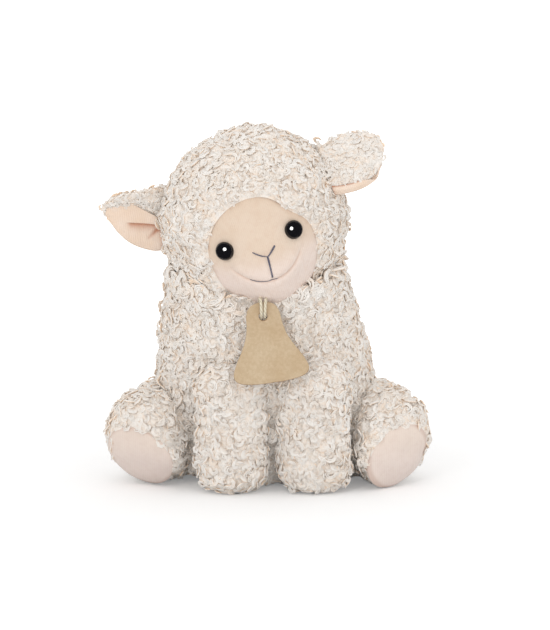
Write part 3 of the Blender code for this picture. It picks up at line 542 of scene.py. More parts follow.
def effect_group(name, inputs, outputs):
    """A new shader group: its tree, its nodes, what it is given and what it puts out."""
    tree = bpy.data.node_groups.new(name, "ShaderNodeTree")
    for way, sockets in (("INPUT", inputs), ("OUTPUT", outputs)):
        for label, kind in sockets.items():
            tree.interface.new_socket(name=label, in_out=way, socket_type="NodeSocket" + kind)
    nodes = Nodes(tree)
    return tree, nodes, nodes.node("NodeGroupInput").outputs, nodes.node("NodeGroupOutput").inputs


def fleece_tint_group():
    """The fleece's uneven cream: two creams in large mottles, and warmer patches."""
    tree, nodes, given, end = effect_group(
        "Fleece tint",
        {"Main": "Color", "Pale": "Color", "Warm": "Color", "Mottle scale": "Float", "Patch scale": "Float"},
        {"Color": "Color"},
    )
    mottle = nodes.ramp(nodes.noise(given["Mottle scale"], 3.0), 0.35, 0.65)
    patch = nodes.ramp(nodes.noise(given["Patch scale"]), 0.50, 0.72, 0.0, 0.5)
    cream = nodes.mix(mottle, given["Main"], given["Pale"])
    nodes.put(end["Color"], nodes.mix(patch, cream, given["Warm"]))
    return tree


def pile_and_ribs_group():
    """The short pile and the fine ribs of a knitted cloth, whose ribs may waver."""
    tree, nodes, given, end = effect_group(
        "Pile and ribs",
        {"Rib": "Float", "Waver": "Float", "Pile scale": "Float"},
        {"Ribs": "Float", "Pile": "Float"},
    )
    turn = nodes.maths("MULTIPLY", given["Rib"], FULL_TURN)
    waver = nodes.maths("MULTIPLY", nodes.noise(160.0), given["Waver"])
    nodes.put(end["Ribs"], nodes.maths("SINE", nodes.maths("ADD", turn, waver)))
    nodes.put(end["Pile"], nodes.noise(given["Pile scale"], 3.0, rough=0.7))
    return tree


FLEECE_TINT = fleece_tint_group()
PILE_AND_RIBS = pile_and_ribs_group()


def fleece_colour(paint):
    creams = {"Main": WOOL_MAIN, "Pale": WOOL_PALE, "Warm": WOOL_WARM}
    return paint.effect(FLEECE_TINT, Mottle_scale=70.0, Patch_scale=170.0, **creams)["Color"]


def wool_paint():
    """Cream curls of fine strands, with painted warm shade at their roots and undersides and in the crevices
    between tufts.
    """
    paint = Paint("wool")
    colour = fleece_colour(paint)
    colour = paint.mix(paint.ramp(paint.value("tone"), 0.3, 1.0, 0.0, 0.35), colour, WOOL_TIP)
    # Painted warm shade in the crevices between tufts.
    colour = paint.mix(paint.ramp(paint.value("crevice_shade"), 0.3, 1.0, 0.0, 0.3), colour, WOOL_PAINTED_SHADE)
    # Painted warm shade where the strands lie low: their roots and undersides.
    colour = paint.mix(paint.ramp(paint.value("rise"), 0.15, 0.75, 0.85, 0.0), colour, WOOL_PAINTED_SHADE)
    fibres = paint.noise(1300.0)
    paint.set(Base_Color=colour, Roughness=0.95, Normal=paint.bump(fibres, 0.00010, 0.5))
    paint.set(Specular_IOR_Level=0.1, Sheen_Weight=0.35, Sheen_Roughness=0.5)
    return paint.material


def ground_paint():
    """The fleece between the curls: matted tufts of curved strands, with painted warm shade down in the
    crevices and painted shade between the strands.
    """
    paint = Paint("wool_ground")
    place = paint.place()
    cells = paint.node("ShaderNodeTexVoronoi", {"Vector": place, "Scale": 1.0 / CURL_CELL}).outputs
    swing = paint.vectors("SUBTRACT", cells["Color"], (0.5, 0.5, 0.5))
    swing = paint.vectors("SCALE", swing, scale=CURL_CELL * CURL_SWING)
    away = paint.vectors("DISTANCE", place, paint.vectors("ADD", cells["Position"], swing))
    wander = paint.maths("MULTIPLY", paint.noise(240.0), 9.0)
    strands = paint.maths("MULTIPLY", away, FULL_TURN / STRAND_STEP)
    strands = paint.maths("SINE", paint.maths("ADD", strands, wander))
    colour = fleece_colour(paint)
    # Painted warm shade in the crevices between tufts.
    colour = paint.mix(paint.ramp(paint.value("crevice_shade"), 0.10, 0.9, 0.0, 0.4), colour, WOOL_PAINTED_SHADE)
    # Painted shade in the troughs between the strands, where the bump is lowest.
    colour = paint.mix(paint.ramp(strands, -1.0, 0.4, 0.22, 0.0), colour, WOOL_SHADE)
    height = paint.maths("ADD", paint.maths("MULTIPLY", strands, 0.6), paint.noise(900.0, 3.0))
    paint.set(Base_Color=colour, Roughness=1.0, Normal=paint.bump(height, 0.00028, 0.6))
    paint.set(Specular_IOR_Level=0.1, Sheen_Weight=0.35, Sheen_Roughness=0.5)
    return paint.material


def velour_paint(name, main, low, shade):
    """Short-pile velour with fine knitted ribs: one colour, another one low down, which on the soles is
    painted shade, and painted shade in creases, where the nap lies low and between the ribs.
    """
    paint = Paint(name)
    cloth = paint.effect(PILE_AND_RIBS, Rib=paint.value("rib"), Waver=0.0, Pile_scale=1500.0)
    nap = paint.noise(260.0, warp=0.6)
    colour = paint.mix(paint.ramp(paint.value("low"), 0.0, 1.0), main, low)
    colour = paint.mix(paint.ramp(paint.noise(38.0), 0.35, 0.7, 0.0, 0.22), colour, VELOUR_BLOOM)
    # Painted shade where the nap lies low.
    colour = paint.mix(paint.ramp(nap, 0.3, 0.6, 0.12, 0.0), colour, shade)
    # Painted shade between the ribs.
    colour = paint.mix(paint.ramp(cloth["Ribs"], -1.0, 0.2, 0.09, 0.0), colour, shade)
    # Painted shade in creases and seams.
    colour = paint.mix(paint.ramp(paint.value("crease_shade"), 0.0, 1.0, 0.0, 0.75), colour, shade)
    height = paint.maths("ADD", cloth["Pile"], paint.maths("MULTIPLY", nap, 1.2))
    height = paint.maths("ADD", height, paint.maths("MULTIPLY", cloth["Ribs"], 0.35))
    paint.set(Base_Color=colour, Roughness=0.9, Normal=paint.bump(height, 0.00022, 0.5))
    paint.set(Sheen_Weight=0.3, Sheen_Roughness=0.45, Specular_IOR_Level=0.2)
    return paint.material


def lining_paint():
    """Peach lining with faint ribs, with painted shade between the ribs and reddish painted shade in its
    folds.
    """
    paint = Paint("lining")
    cloth = paint.effect(PILE_AND_RIBS, Rib=paint.value("rib"), Waver=3.0, Pile_scale=1300.0)
    colour = paint.mix(paint.ramp(paint.noise(60.0), 0.3, 0.7), LINING_MAIN, LINING_PALE)
    # Painted shade between the ribs.
    colour = paint.mix(paint.ramp(cloth["Ribs"], -1.0, 0.6, 0.22, 0.0), colour, LINING_RIB_SHADE)
    # Painted reddish shade in the folds.
    colour = paint.mix(paint.ramp(paint.value("crease_shade"), 0.0, 1.0, 0.0, 0.92), colour, LINING_FOLD_SHADE)
    height = paint.maths("ADD", paint.maths("MULTIPLY", cloth["Ribs"], 0.5), cloth["Pile"])
    paint.set(Base_Color=colour, Roughness=0.9, Normal=paint.bump(height, 0.00020, 0.5))
    paint.set(Sheen_Weight=0.35, Sheen_Roughness=0.45, Specular_IOR_Level=0.2)
    return paint.material


def eye_paint():
    """Black glass-like plastic with the finest scuffs."""
    paint = Paint("eye")
    scuff = paint.noise(900.0)
    colour = paint.mix(scuff, EYE_BLACK, EYE_SCUFF)
    paint.set(Base_Color=colour, Roughness=paint.ramp(scuff, 0.3, 0.8, 0.06, 0.12), IOR=1.45)
    return paint.material


def thread_paint():
    """Grey-blue sewing thread of twisted plies."""
    paint = Paint("thread")
    ply = paint.maths("SINE", paint.lay(PLIES, THREAD_LAY))
    colour = paint.mix(paint.ramp(ply, -1.0, 1.0), THREAD_SHADE, THREAD_LIGHT)
    height = paint.maths("ADD", ply, paint.noise(2200.0))
    paint.set(Base_Color=colour, Roughness=0.7, Sheen_Weight=0.3, Normal=paint.bump(height, 0.00012, 0.8))
    return paint.material


def card_paint():
    """Kraft card with fibres and pale flecks, browner where it is cut."""
    paint = Paint("card")
    fibres = paint.noise(420.0, 5.0, rough=0.65)
    colour = paint.mix(paint.ramp(paint.noise(45.0), 0.3, 0.7), CARD_MAIN, CARD_PALE)
    colour = paint.mix(paint.ramp(fibres, 0.4, 0.62, 0.22, 0.0), colour, CARD_FIBRE)
    colour = paint.mix(paint.ramp(paint.noise(1500.0), 0.62, 0.72, 0.0, 0.35), colour, CARD_FLECK)
    colour = paint.mix(paint.ramp(paint.value("cut"), 0.3, 1.0, 0.0, 0.85), colour, CARD_CUT)
    paint.set(Base_Color=colour, Roughness=0.85, Normal=paint.bump(fibres, 0.00008, 0.6))
    paint.set(Specular_IOR_Level=0.3)
    return paint.material


def cord_paint():
    """Satin cord of twisted plies, each with fine strands of its own."""
    paint = Paint("cord")
    lay = paint.lay(PLIES, CORD_LAY)
    ply = paint.maths("ABSOLUTE", paint.maths("SINE", paint.maths("MULTIPLY", lay, 0.5)))
    fine = paint.maths("SINE", paint.maths("MULTIPLY", lay, 6.0))
    colour = paint.mix(paint.ramp(ply, 0.0, 0.6), CORD_SHADE, CORD_LIGHT)
    height = paint.maths("ADD", ply, paint.maths("MULTIPLY", fine, 0.06))
    paint.set(Base_Color=colour, Roughness=0.45, Sheen_Weight=0.2, Normal=paint.bump(height, 0.00035, 0.9))
    return paint.material


def floor_paint():
    """A pale floor that turns plain white away from the object, with its shadow kept near by."""
    paint = Paint("floor")
    away = paint.vectors("LENGTH", paint.place())
    rays = paint.node("ShaderNodeLightPath").outputs
    glow = paint.ramp(away, FLOOR_SHADOW_REACH, FLOOR_WHITE_FROM, FLOOR_GLOW_NEAR, FLOOR_GLOW_FAR)
    pale = paint.mix(rays["Is Glossy Ray"], FLOOR_PALE, FLOOR_MIRRORED)
    paint.set(Base_Color=pale, Roughness=1.0, Specular_IOR_Level=0.0)
    paint.set(Emission_Color=WHITE, Emission_Strength=paint.maths("MULTIPLY", rays["Is Camera Ray"], glow))
    return paint.material


WOOL = wool_paint()
GROUND = ground_paint()
VELOUR = velour_paint("velour", FACE_MAIN, FACE_LOW, FACE_SHADE)
SOLE = velour_paint("sole", SOLE_MAIN, SOLE_LOW_SHADE, SOLE_SHADE)
LINING = lining_paint()
EYE = eye_paint()
THREAD = thread_paint()
CARD = card_paint()
CORD = cord_paint()


# Forms


def torso_points(inset, rings, sides):
    """Rings of the body, from its seat up, drawn in by an inset."""
    rows = spread(BODY_ROWS, rings)
    half_width = BODY_WIDTH / 2 - inset
    half_depth = BODY_DEPTH / 2 - inset
    height = BODY_HEIGHT + PRESS - 2 * inset
    out = []
    for up, wide, deep, back, lean in rows:
        x, y = oval(sides, half_width * wide, half_depth * deep, BODY_ROUNDNESS)
        z = np.full(sides, inset - PRESS + height * up)
        out.append(np.stack([x - BODY_LEAN * lean, y + BODY_BACK * back, z], -1))
    return np.array(out)


def head_ray(angle, turn):
    """A direction from the head's centre, at an angle from the face's middle."""
    return np.stack([np.sin(angle) * np.sin(turn), -np.cos(angle), np.sin(angle) * np.cos(turn)], -1)


MUZZLE = 0.0125
MUZZLE_AT = math.radians(-10.0)
MUZZLE_SIDE = math.radians(23.0)
MUZZLE_UP = math.radians(20.0)
MUZZLE_DOWN = math.radians(26.0)


def skin_radius(d):
    """How far the head's skin lies from its centre in the direction d: a ball with a muzzle."""
    x, y, z = d[..., 0], d[..., 1], d[..., 2]
    back = 1 / np.sqrt((x**2 + z**2) / HEAD_R**2 + y**2 / HEAD_BACK_R**2)
    radius = np.where(y > 0, back, HEAD_R)
    side = np.arctan2(x, -y) / MUZZLE_SIDE
    rise = np.arctan2(z, np.hypot(x, y)) - MUZZLE_AT
    reach = np.where(rise > 0, MUZZLE_UP, MUZZLE_DOWN)
    return radius + MUZZLE * np.exp(-(side**2) - (rise / reach) ** 2)


RIM_SIDE = math.radians(38.5)
RIM_TOP = math.radians(37.0)
RIM_CHIN = math.radians(51.5)
RIM_DRAWN_IN = math.radians(5.5)
RIM_DRAWN_AT = math.radians(52.0)
RIM_DRAWN_WIDE = math.radians(26.0)


def rim_angle(turn):
    """The face's edge as an angle from its middle: deeper at the chin, drawn in over the right eye."""
    up = np.cos(turn)
    high = RIM_SIDE + (RIM_TOP - RIM_SIDE) * up**2
    low = RIM_SIDE + (RIM_CHIN - RIM_SIDE) * up**2
    drawn = RIM_DRAWN_IN * np.exp(-(((turn - RIM_DRAWN_AT) / RIM_DRAWN_WIDE) ** 2))
    return np.where(up > 0, high, low) - drawn


SMILE_LOW = -0.019
SMILE_RISE = 0.0125
SMILE_HALF = 0.025
SMILE_CURVE = 2.4


def smile_height(x):
    """The height of the smile's seam on the face."""
    return SMILE_LOW + SMILE_RISE * np.minimum(np.abs(x) / SMILE_HALF, 1.0) ** SMILE_CURVE


def limb_of(frame, along, side, depth, reach, rows, **cut):
    """A limb: its root's half sizes, its reach, its rows and, where it is open, how its end is cut."""
    limb = {"frame": frame, "along": along, "side": side, "depth": depth, "reach": reach, "rows": rows}
    limb.update({"closed": not cut, "down": 0.0, "out": 0.0, "roll": 0.0}, **cut)
    return limb


def front_limb(side):
    """A front leg, which hangs straight down."""
    frame = Matrix.Translation((0.0025 + SIGN[side] * 0.0285, -0.041, 0.076))
    return limb_of(frame, 0.021, 0.026, 0.021, 0.0765, FRONT_ROWS)


HIND_SPREAD = math.radians(25.0)


def hind_limb(side):
    """A hind leg, spread outwards, with its end cut for the sole."""
    sign = SIGN[side]
    outward = Vector((sign * math.sin(HIND_SPREAD), -math.cos(HIND_SPREAD), 0.0))
    upward = Vector((0.0, 0.0, 1.0))
    turn = Matrix((upward.cross(-outward), upward, -outward)).transposed().to_4x4()
    frame = Matrix.Translation((sign * 0.069, 0.012, 0.0355)) @ turn
    cut = {"down": SOLE_DOWN[side], "out": SOLE_OUT[side] * -sign, "roll": SOLE_ROLL[side] * -sign}
    return limb_of(frame, 0.030, 0.030, 0.036, 0.048, HIND_ROWS, **cut)


def tail_limb():
    """The short tail."""
    frame = Matrix.Translation((0.0, 0.0815, 0.052))
    return limb_of(frame, 0.0095, 0.0095, 0.0095, 0.031, TAIL_ROWS)


def limb_points(limb, inset, sides, root_rings=10, rings=40):
    """Rings of a limb in its own frame, from the top of its root to its end."""
    half_side = limb["side"] - inset
    half_depth = limb["depth"] - inset
    half_along = limb["along"] - inset
    out = []
    for angle in np.radians(np.linspace(-86, -6, root_rings)):
        x, y = oval(sides, half_side * math.cos(angle), half_depth * math.cos(angle))
        out.append(np.stack([x, y, np.full(sides, -half_along * math.sin(angle))], -1))
    rows = spread([(0.0, 1.0, 1.0, 0.0), *limb["rows"]], rings)
    reach = limb["reach"] - (inset if limb["closed"] else 0.0)
    for share, wide, deep, offset in rows:
        x, y = oval(sides, limb["side"] * wide - inset, limb["depth"] * deep - inset)
        slant = (y * math.tan(limb["down"]) + x * math.tan(limb["out"])) * share * share
        lift = x * math.tan(limb["roll"]) * share * share
        out.append(np.stack([x, y + limb["depth"] * offset + lift, -reach * share - slant], -1))
    return np.array(out)


def on_floor(points, low=FLOOR_TOUCH):
    """The points with none lower than that height."""
    points = points.copy()
    points[..., 2] = np.maximum(points[..., 2], low)
    return points


HIP_PLUMP = 0.0038
LIMB_RINGS = 85
LIMB_ROOT_RINGS = 20
LIMB_SIDES = 140


def limb_mesh(name, limb):
    """A limb's fleece cloth, puffed out in tufts, and a hind leg's hip plumper on its outer side."""
    points = limb_points(limb, BED, LIMB_SIDES, LIMB_ROOT_RINGS, LIMB_RINGS)
    count = len(points)
    points = placed(limb["frame"], points.reshape(-1, 3))
    puff, crevice_shade = clumps(points, len(name))
    centre = points.reshape(count, LIMB_SIDES, 3).mean(1).repeat(LIMB_SIDES, 0)
    away = points - centre
    away /= np.maximum(np.linalg.norm(away, axis=1), 1e-6)[:, None]
    if not limb["closed"]:
        outward = away[:, 0] * np.sign(limb["frame"].translation.x)
        along = placed(limb["frame"].inverted(), points)[:, 2]
        held = smoothstep(-limb["reach"], -limb["reach"] * 0.75, along)
        puff += HIP_PLUMP * smoothstep(0.1, 0.9, outward) * held
    points = on_floor(points + away * puff[:, None]).reshape(count, LIMB_SIDES, 3)
    mesh = ring_mesh(name, points, points[0].mean(0), points[-1].mean(0))
    set_value(mesh, "crevice_shade", np.concatenate([crevice_shade, [0.0, 0.0]]))
    return mesh


# The wool

WISP_STRANDS = 3
WISP_RINGS = 6
WISP_SIDES = 4
WISP_TURNS = (0.50, 0.66, 0.82, 0.95, 0.58, 0.74)
WISP_RADII = (0.0034, 0.0030, 0.0028, 0.0026, 0.0038, 0.0032)
WISP_SEED = 40
STRAND_R = 0.00054
STRAND_GAP = 0.00080
WISP_SINK = 0.0002
WISP_LIFT = 0.0007


def wisp_object(index, collection):
    """One curl of a few fine strands side by side, which lies on its root's plane and ends in loose tips."""
    rng = np.random.default_rng(WISP_SEED + index)
    hand = 1.0 if index % 2 else -1.0
    strands = bmesh.new()
    for strand in range(WISP_STRANDS):
        radius = WISP_RADII[index] + (strand - (WISP_STRANDS - 1) / 2) * STRAND_GAP
        first, last = rng.uniform(-0.05, 0.08), rng.uniform(0.82, 1.12)
        t = np.linspace(0, 1, WISP_RINGS)
        turn = hand * FULL_TURN * WISP_TURNS[index] * (first + (last - first) * t)
        reach = radius * (1.0 - rng.uniform(0.35, 0.6) * t**1.3)
        rise = WISP_LIFT * rng.uniform(0.6, 1.2) * np.sin(np.pi * (0.04 + 0.80 * t)) - WISP_SINK
        centre = np.stack([reach * np.cos(turn) - radius * 0.25, reach * np.sin(turn), rise], -1)
        along = np.gradient(centre, axis=0)
        along /= np.linalg.norm(along, axis=1)[:, None]
        side = np.cross(along, [0.0, 0.0, 1.0])
        side /= np.linalg.norm(side, axis=1)[:, None]
        up = np.cross(side, along)
        width = (STRAND_R * (1 - 0.5 * t**4))[:, None, None]
        around = np.linspace(0, FULL_TURN, WISP_SIDES, endpoint=False) + math.pi / WISP_SIDES
        across = side[:, None, :] * np.cos(around)[None, :, None]
        above = up[:, None, :] * np.sin(around)[None, :, None]
        rings = centre[:, None, :] + (across + above) * width
        strands.from_mesh(ring_mesh("strand", rings, rings[0].mean(0), rings[-1].mean(0)))
    mesh = bpy.data.meshes.new("wisp")
    strands.to_mesh(mesh)
    strands.free()
    mesh.shade_smooth()
    # rise is the height within the curl; the wool paints warm shade where it is low.
    set_value(mesh, "rise", np.clip((coords(mesh)[:, 2] + WISP_SINK) / (WISP_LIFT + WISP_SINK), 0, 1))
    collection.objects.link(bpy.data.objects.new("wisp_%d" % index, mesh))


MOST_WISPS = 400000.0
WHORL_RADIANS = 16.0
TURN_JITTER = 0.7
WISP_LEAN = 0.24
SMALLEST_WISP = 0.78
LARGEST_WISP = 1.25


def wool_tree():
    """Curls set over a surface, turned in whorls, each a little larger, smaller and leaning."""
    tree = bpy.data.node_groups.new("Fleece", "GeometryNodeTree")
    face = tree.interface
    for kind, label in (
        ("Geometry", "Geometry"),
        ("Float", "Spacing"),
        ("Float", "Whorl size"),
        ("Float", "Floor"),
        ("Int", "Seed"),
        ("Collection", "Wisps"),
        ("Material", "Wool"),
    ):
        face.new_socket(name=label, in_out="INPUT", socket_type="NodeSocket" + kind)
    face.new_socket(name="Geometry", in_out="OUTPUT", socket_type="NodeSocketGeometry")

    def live(sockets, name=None):
        return next(s for s in sockets if s.enabled and (name is None or s.name == name))

    def add(kind, inputs=None, **settings):
        node = tree.nodes.new(kind)
        for key, value in settings.items():
            setattr(node, key, value)
        for key, value in (inputs or {}).items():
            socket = live(node.inputs, key) if isinstance(key, str) else node.inputs[key]
            if isinstance(value, bpy.types.NodeSocket):
                tree.links.new(value, socket)
            else:
                socket.default_value = value
        return node

    def stored(name):
        node = add("GeometryNodeInputNamedAttribute", {"Name": name}, data_type="FLOAT")
        return live(node.outputs)

    def chance(low, high, seed, kind="FLOAT"):
        inputs = {"Min": low, "Max": high, "Seed": seed}
        return live(add("FunctionNodeRandomValue", inputs, data_type=kind).outputs)

    def maths(operation, a, b):
        return add("ShaderNodeMath", {0: a, 1: b}, operation=operation).outputs[0]

    given = add("NodeGroupInput").outputs
    points = add(
        "GeometryNodeDistributePointsOnFaces",
        {
            "Mesh": given["Geometry"],
            "Distance Min": given["Spacing"],
            "Density Max": MOST_WISPS,
            "Density Factor": stored("wool_share"),
            "Seed": given["Seed"],
        },
        distribute_method="POISSON",
    ).outputs
    position = add("GeometryNodeInputPosition").outputs[0]
    whorl = add("ShaderNodeTexNoise", {"Vector": position, "Scale": given["Whorl size"], "Detail": 1.0})
    angle = maths("MULTIPLY", live(whorl.outputs, "Fac"), WHORL_RADIANS)
    angle = maths("ADD", angle, chance(-TURN_JITTER, TURN_JITTER, given["Seed"]))
    lean = {"X": chance(-WISP_LEAN, WISP_LEAN, 3), "Y": chance(-WISP_LEAN, WISP_LEAN, 4), "Z": angle}
    turn = add("FunctionNodeEulerToRotation", {"Euler": add("ShaderNodeCombineXYZ", lean).outputs[0]})
    rotation = add(
        "FunctionNodeRotateRotation",
        {"Rotation": points["Rotation"], "Rotate By": turn.outputs[0]},
        rotation_space="LOCAL",
    )
    curls = add(
        "GeometryNodeCollectionInfo",
        {"Collection": given["Wisps"], "Separate Children": True, "Reset Children": True},
    )
    placed_curls = add(
        "GeometryNodeInstanceOnPoints",
        {
            "Points": points["Points"],
            "Instance": curls.outputs[0],
            "Pick Instance": True,
            "Instance Index": chance(0, len(WISP_TURNS) - 1, 6, "INT"),
            "Rotation": rotation.outputs[0],
            "Scale": maths("MULTIPLY", chance(SMALLEST_WISP, LARGEST_WISP, 5), stored("wool_size")),
        },
    )
    toned = add(
        "GeometryNodeStoreNamedAttribute",
        {"Geometry": placed_curls.outputs[0], "Name": "tone", "Value": chance(0.0, 1.0, 7)},
        data_type="FLOAT",
        domain="INSTANCE",
    )
    real = add("GeometryNodeRealizeInstances", {"Geometry": toned.outputs[0]})
    xyz = add("ShaderNodeSeparateXYZ", {0: position}).outputs
    height = maths("MAXIMUM", xyz[2], given["Floor"])
    pressed = add("ShaderNodeCombineXYZ", {"X": xyz[0], "Y": xyz[1], "Z": height})
    settled = add("GeometryNodeSetPosition", {"Geometry": real.outputs[0], "Position": pressed.outputs[0]})
    painted = add("GeometryNodeSetMaterial", {"Geometry": settled.outputs[0], "Material": given["Wool"]})
    tree.links.new(painted.outputs[0], add("NodeGroupOutput").inputs[0])
    return tree


WISPS = bpy.data.collections.new("wisps")
for variant in range(len(WISP_TURNS)):
    wisp_object(variant, WISPS)
FLEECE = wool_tree()
SPACING = 0.0035
WHORLS_PER_METRE = 62.0
CURL_FLOOR = 0.0002


def add_wool(name, base, body, spacing=SPACING, keep=None):
    """Curls all over the base mesh, where its wool_share is above 0, as one plain mesh."""
    ground = base.copy()
    if keep is not None:
        bm = bmesh.new()
        bm.from_mesh(ground)
        gone = [f for f in bm.faces if not keep(f.calc_center_median())]
        bmesh.ops.delete(bm, geom=gone, context="FACES")
        bm.to_mesh(ground)
        bm.free()
    holder = bpy.data.objects.new(name + "_ground", ground)
    scene.collection.objects.link(holder)
    modifier = holder.modifiers.new("Fleece", "NODES")
    modifier.node_group = FLEECE
    values = {
        "Spacing": spacing,
        "Whorl size": WHORLS_PER_METRE,
        "Floor": CURL_FLOOR,
        "Seed": len(name),
        "Wisps": WISPS,
        "Wool": WOOL,
    }
    for item in FLEECE.interface.items_tree:
        if item.item_type == "SOCKET" and item.in_out == "INPUT" and item.name in values:
            modifier[item.identifier] = values[item.name]
    bpy.context.view_layer.update()
    made = bpy.data.meshes.new_from_object(holder.evaluated_get(bpy.context.evaluated_depsgraph_get()))
    made.name = name
    made.shade_smooth()
    bpy.data.objects.remove(holder)
    add_piece(name, made, WOOL, body)


# Torso and limbs

closed_form = torso_points(0.0, 40, 64)
torso_tree = tree_of(ring_mesh("torso_solid", closed_form, closed_form[0].mean(0), closed_form[-1].mean(0)))
SWINGS = {
    "front_leg_left": ((-1, 0, 0), (0, 25, 50)),
    "front_leg_right": ((-1, 0, 0), (0, 25, 50)),
    "hind_leg_left": ((0, 0, -1), (0, 15, 30)),
    "hind_leg_right": ((0, 0, 1), (0, 15, 30)),
    "tail": ((0, 1, 0), (-35, 0, 35)),
}
NECK_BOWL = 0.0663
NECK_WOOL_END = -0.046
NECK_FRONT_GAP = 0.022
RUFF = 0.0072
RUFF_WIDE = 0.009
RUFF_TOP = 0.01
RUFF_WISPS = 0.7
RUFF_WISPS_WIDE = 0.007
BACK_SPLIT = -0.0025
SEAT_SMOOTH = 0.004
TORSO_RINGS = 190
TORSO_SIDES = 300
TORSO_SEED = 4
TORSO_BARE_BELOW = 0.0015
UNDER_LIMB_DEPTH = 0.004


def limb_poses(name, direction):
    """The turns of a limb's swing about its root, forwards or backwards."""
    axis, angles = SWINGS[name]
    return [turned_about(limbs[name]["frame"].translation, axis, direction * angle) for angle in angles]


def from_head(points):
    """The way from the head's centre to each point, and its length."""
    way = points - np.array(HEAD_CENTRE)
    return way, np.linalg.norm(way, axis=1)


def make_torso():
    """The body's fleece, with a bowl for the head, a ruff of longer wool round it and no wool under limbs."""
    rings = on_floor(torso_points(BED, TORSO_RINGS, TORSO_SIDES))
    mesh = ring_mesh("torso", rings, rings[0].mean(0), rings[-1].mean(0))
    points = coords(mesh)
    away = normals(mesh)
    puff, crevice_shade = clumps(points, TORSO_SEED)
    points += away * puff[:, None] * (points[:, 2:] > SEAT_SMOOTH)
    way, reach = from_head(points)
    ruff = RUFF * np.exp(-(((reach - NECK_BOWL) / RUFF_WIDE) ** 2)) * (way[:, 2] < RUFF_TOP)
    ruff *= 1 - np.exp(-((way[:, 0] / NECK_FRONT_GAP) ** 2)) * (way[:, 1] < 0.0)
    points += away * ruff[:, None]
    way, reach = from_head(points)
    inside = (reach < NECK_BOWL) & (way[:, 2] < 0.0)
    points[inside] = np.array(HEAD_CENTRE) + way[inside] / reach[inside, None] * NECK_BOWL
    set_coords(mesh, on_floor(points))
    points = coords(mesh)
    share = np.ones(len(points))
    share[inside & (way[:, 2] < NECK_WOOL_END)] = 0.0
    share[points[:, 2] < TORSO_BARE_BELOW] = 0.0
    for name in limbs:
        share[always_inside(trees[name], points, limb_poses(name, -1), UNDER_LIMB_DEPTH)] = 0.0
    longer = RUFF_WISPS * np.exp(-(((reach - NECK_BOWL) / RUFF_WISPS_WIDE) ** 2)) * (way[:, 2] < 0.0)
    set_value(mesh, "wool_share", share)
    set_value(mesh, "wool_size", 1.0 + longer)
    set_value(mesh, "crevice_shade", crevice_shade)
    add_piece("torso", mesh, GROUND, "torso", ("body_cover", "body_stuffing", "pellet_bag"))
    add_wool("torso_wool_front_left", mesh, "torso", keep=lambda p: p.y < 0.0 and p.x < 0.0)
    add_wool("torso_wool_front_right", mesh, "torso", keep=lambda p: p.y < 0.0 and p.x >= 0.0)
    add_wool("torso_wool_left", mesh, "torso", keep=lambda p: p.y >= 0.0 and p.x < BACK_SPLIT)
    add_wool("torso_wool_right", mesh, "torso", keep=lambda p: p.y >= 0.0 and p.x >= BACK_SPLIT)


LIMB_BARE_BELOW = 0.0012
LIMB_HIDDEN_DEPTH = 0.005
SOLE_BARE_DEPTH = 0.0006
SOLE_UNDER_DEPTH = 0.010
SOLE_UNDER_HEIGHT = 0.022
SOLE_HALF_RISE = 0.008


def end_height(limb):
    """The height below which a hind leg's end is bare of wool, half way up its sole."""
    middle = limb_points(limb, BED, 24)[-1].mean(0)
    return middle @ np.array(limb["frame"])[2, :3] + limb["frame"].translation.z - SOLE_HALF_RISE


def make_limb(name, limb):
    """A leg or the tail, bare of wool where it is always in the body, on the floor or under a sole."""
    mesh = meshes[name]
    points = coords(mesh)
    share = np.ones(len(points))
    share[always_inside(torso_tree, points, limb_poses(name, 1), LIMB_HIDDEN_DEPTH)] = 0.0
    share[points[:, 2] < LIMB_BARE_BELOW] = 0.0
    if not limb["closed"]:
        local = placed(limb["frame"].inverted(), points)
        slope = np.array([math.tan(limb["out"]), math.tan(limb["down"]), 1.0])
        depth = (local - local[-1]) @ (slope / np.linalg.norm(slope))
        share[depth < SOLE_BARE_DEPTH] = 0.0
        under = (points[:, 2] < SOLE_UNDER_HEIGHT) & (depth < SOLE_UNDER_DEPTH)
        share[under & (points[:, 2] < end_height(limb))] = 0.0
    set_value(mesh, "wool_share", share)
    set_value(mesh, "wool_size", np.ones(len(points)))
    add_piece(name, mesh, GROUND, name, (name + "_cover", name + "_stuffing"))
    add_wool(name + "_wool", mesh, name)


SOLE_OVERLAP = 0.0020
SOLE_CROWN = 0.0044
SOLE_EDGE = 0.0006
SOLE_EDGE_PROFILE = ((0.96, -0.0040), (0.985, -0.0022), (1.0, 0.0))
SOLE_SIDES = 96
SOLE_LOW_SCALE = 0.028
SOLE_SIDE_SCALE = 0.060
SOLE_DENTS = 0.0005
SOLE_DENT_LENGTH = 0.022
SOLE_SHADE_TOP = 0.045
SOLE_SHADE_LOW = 0.010


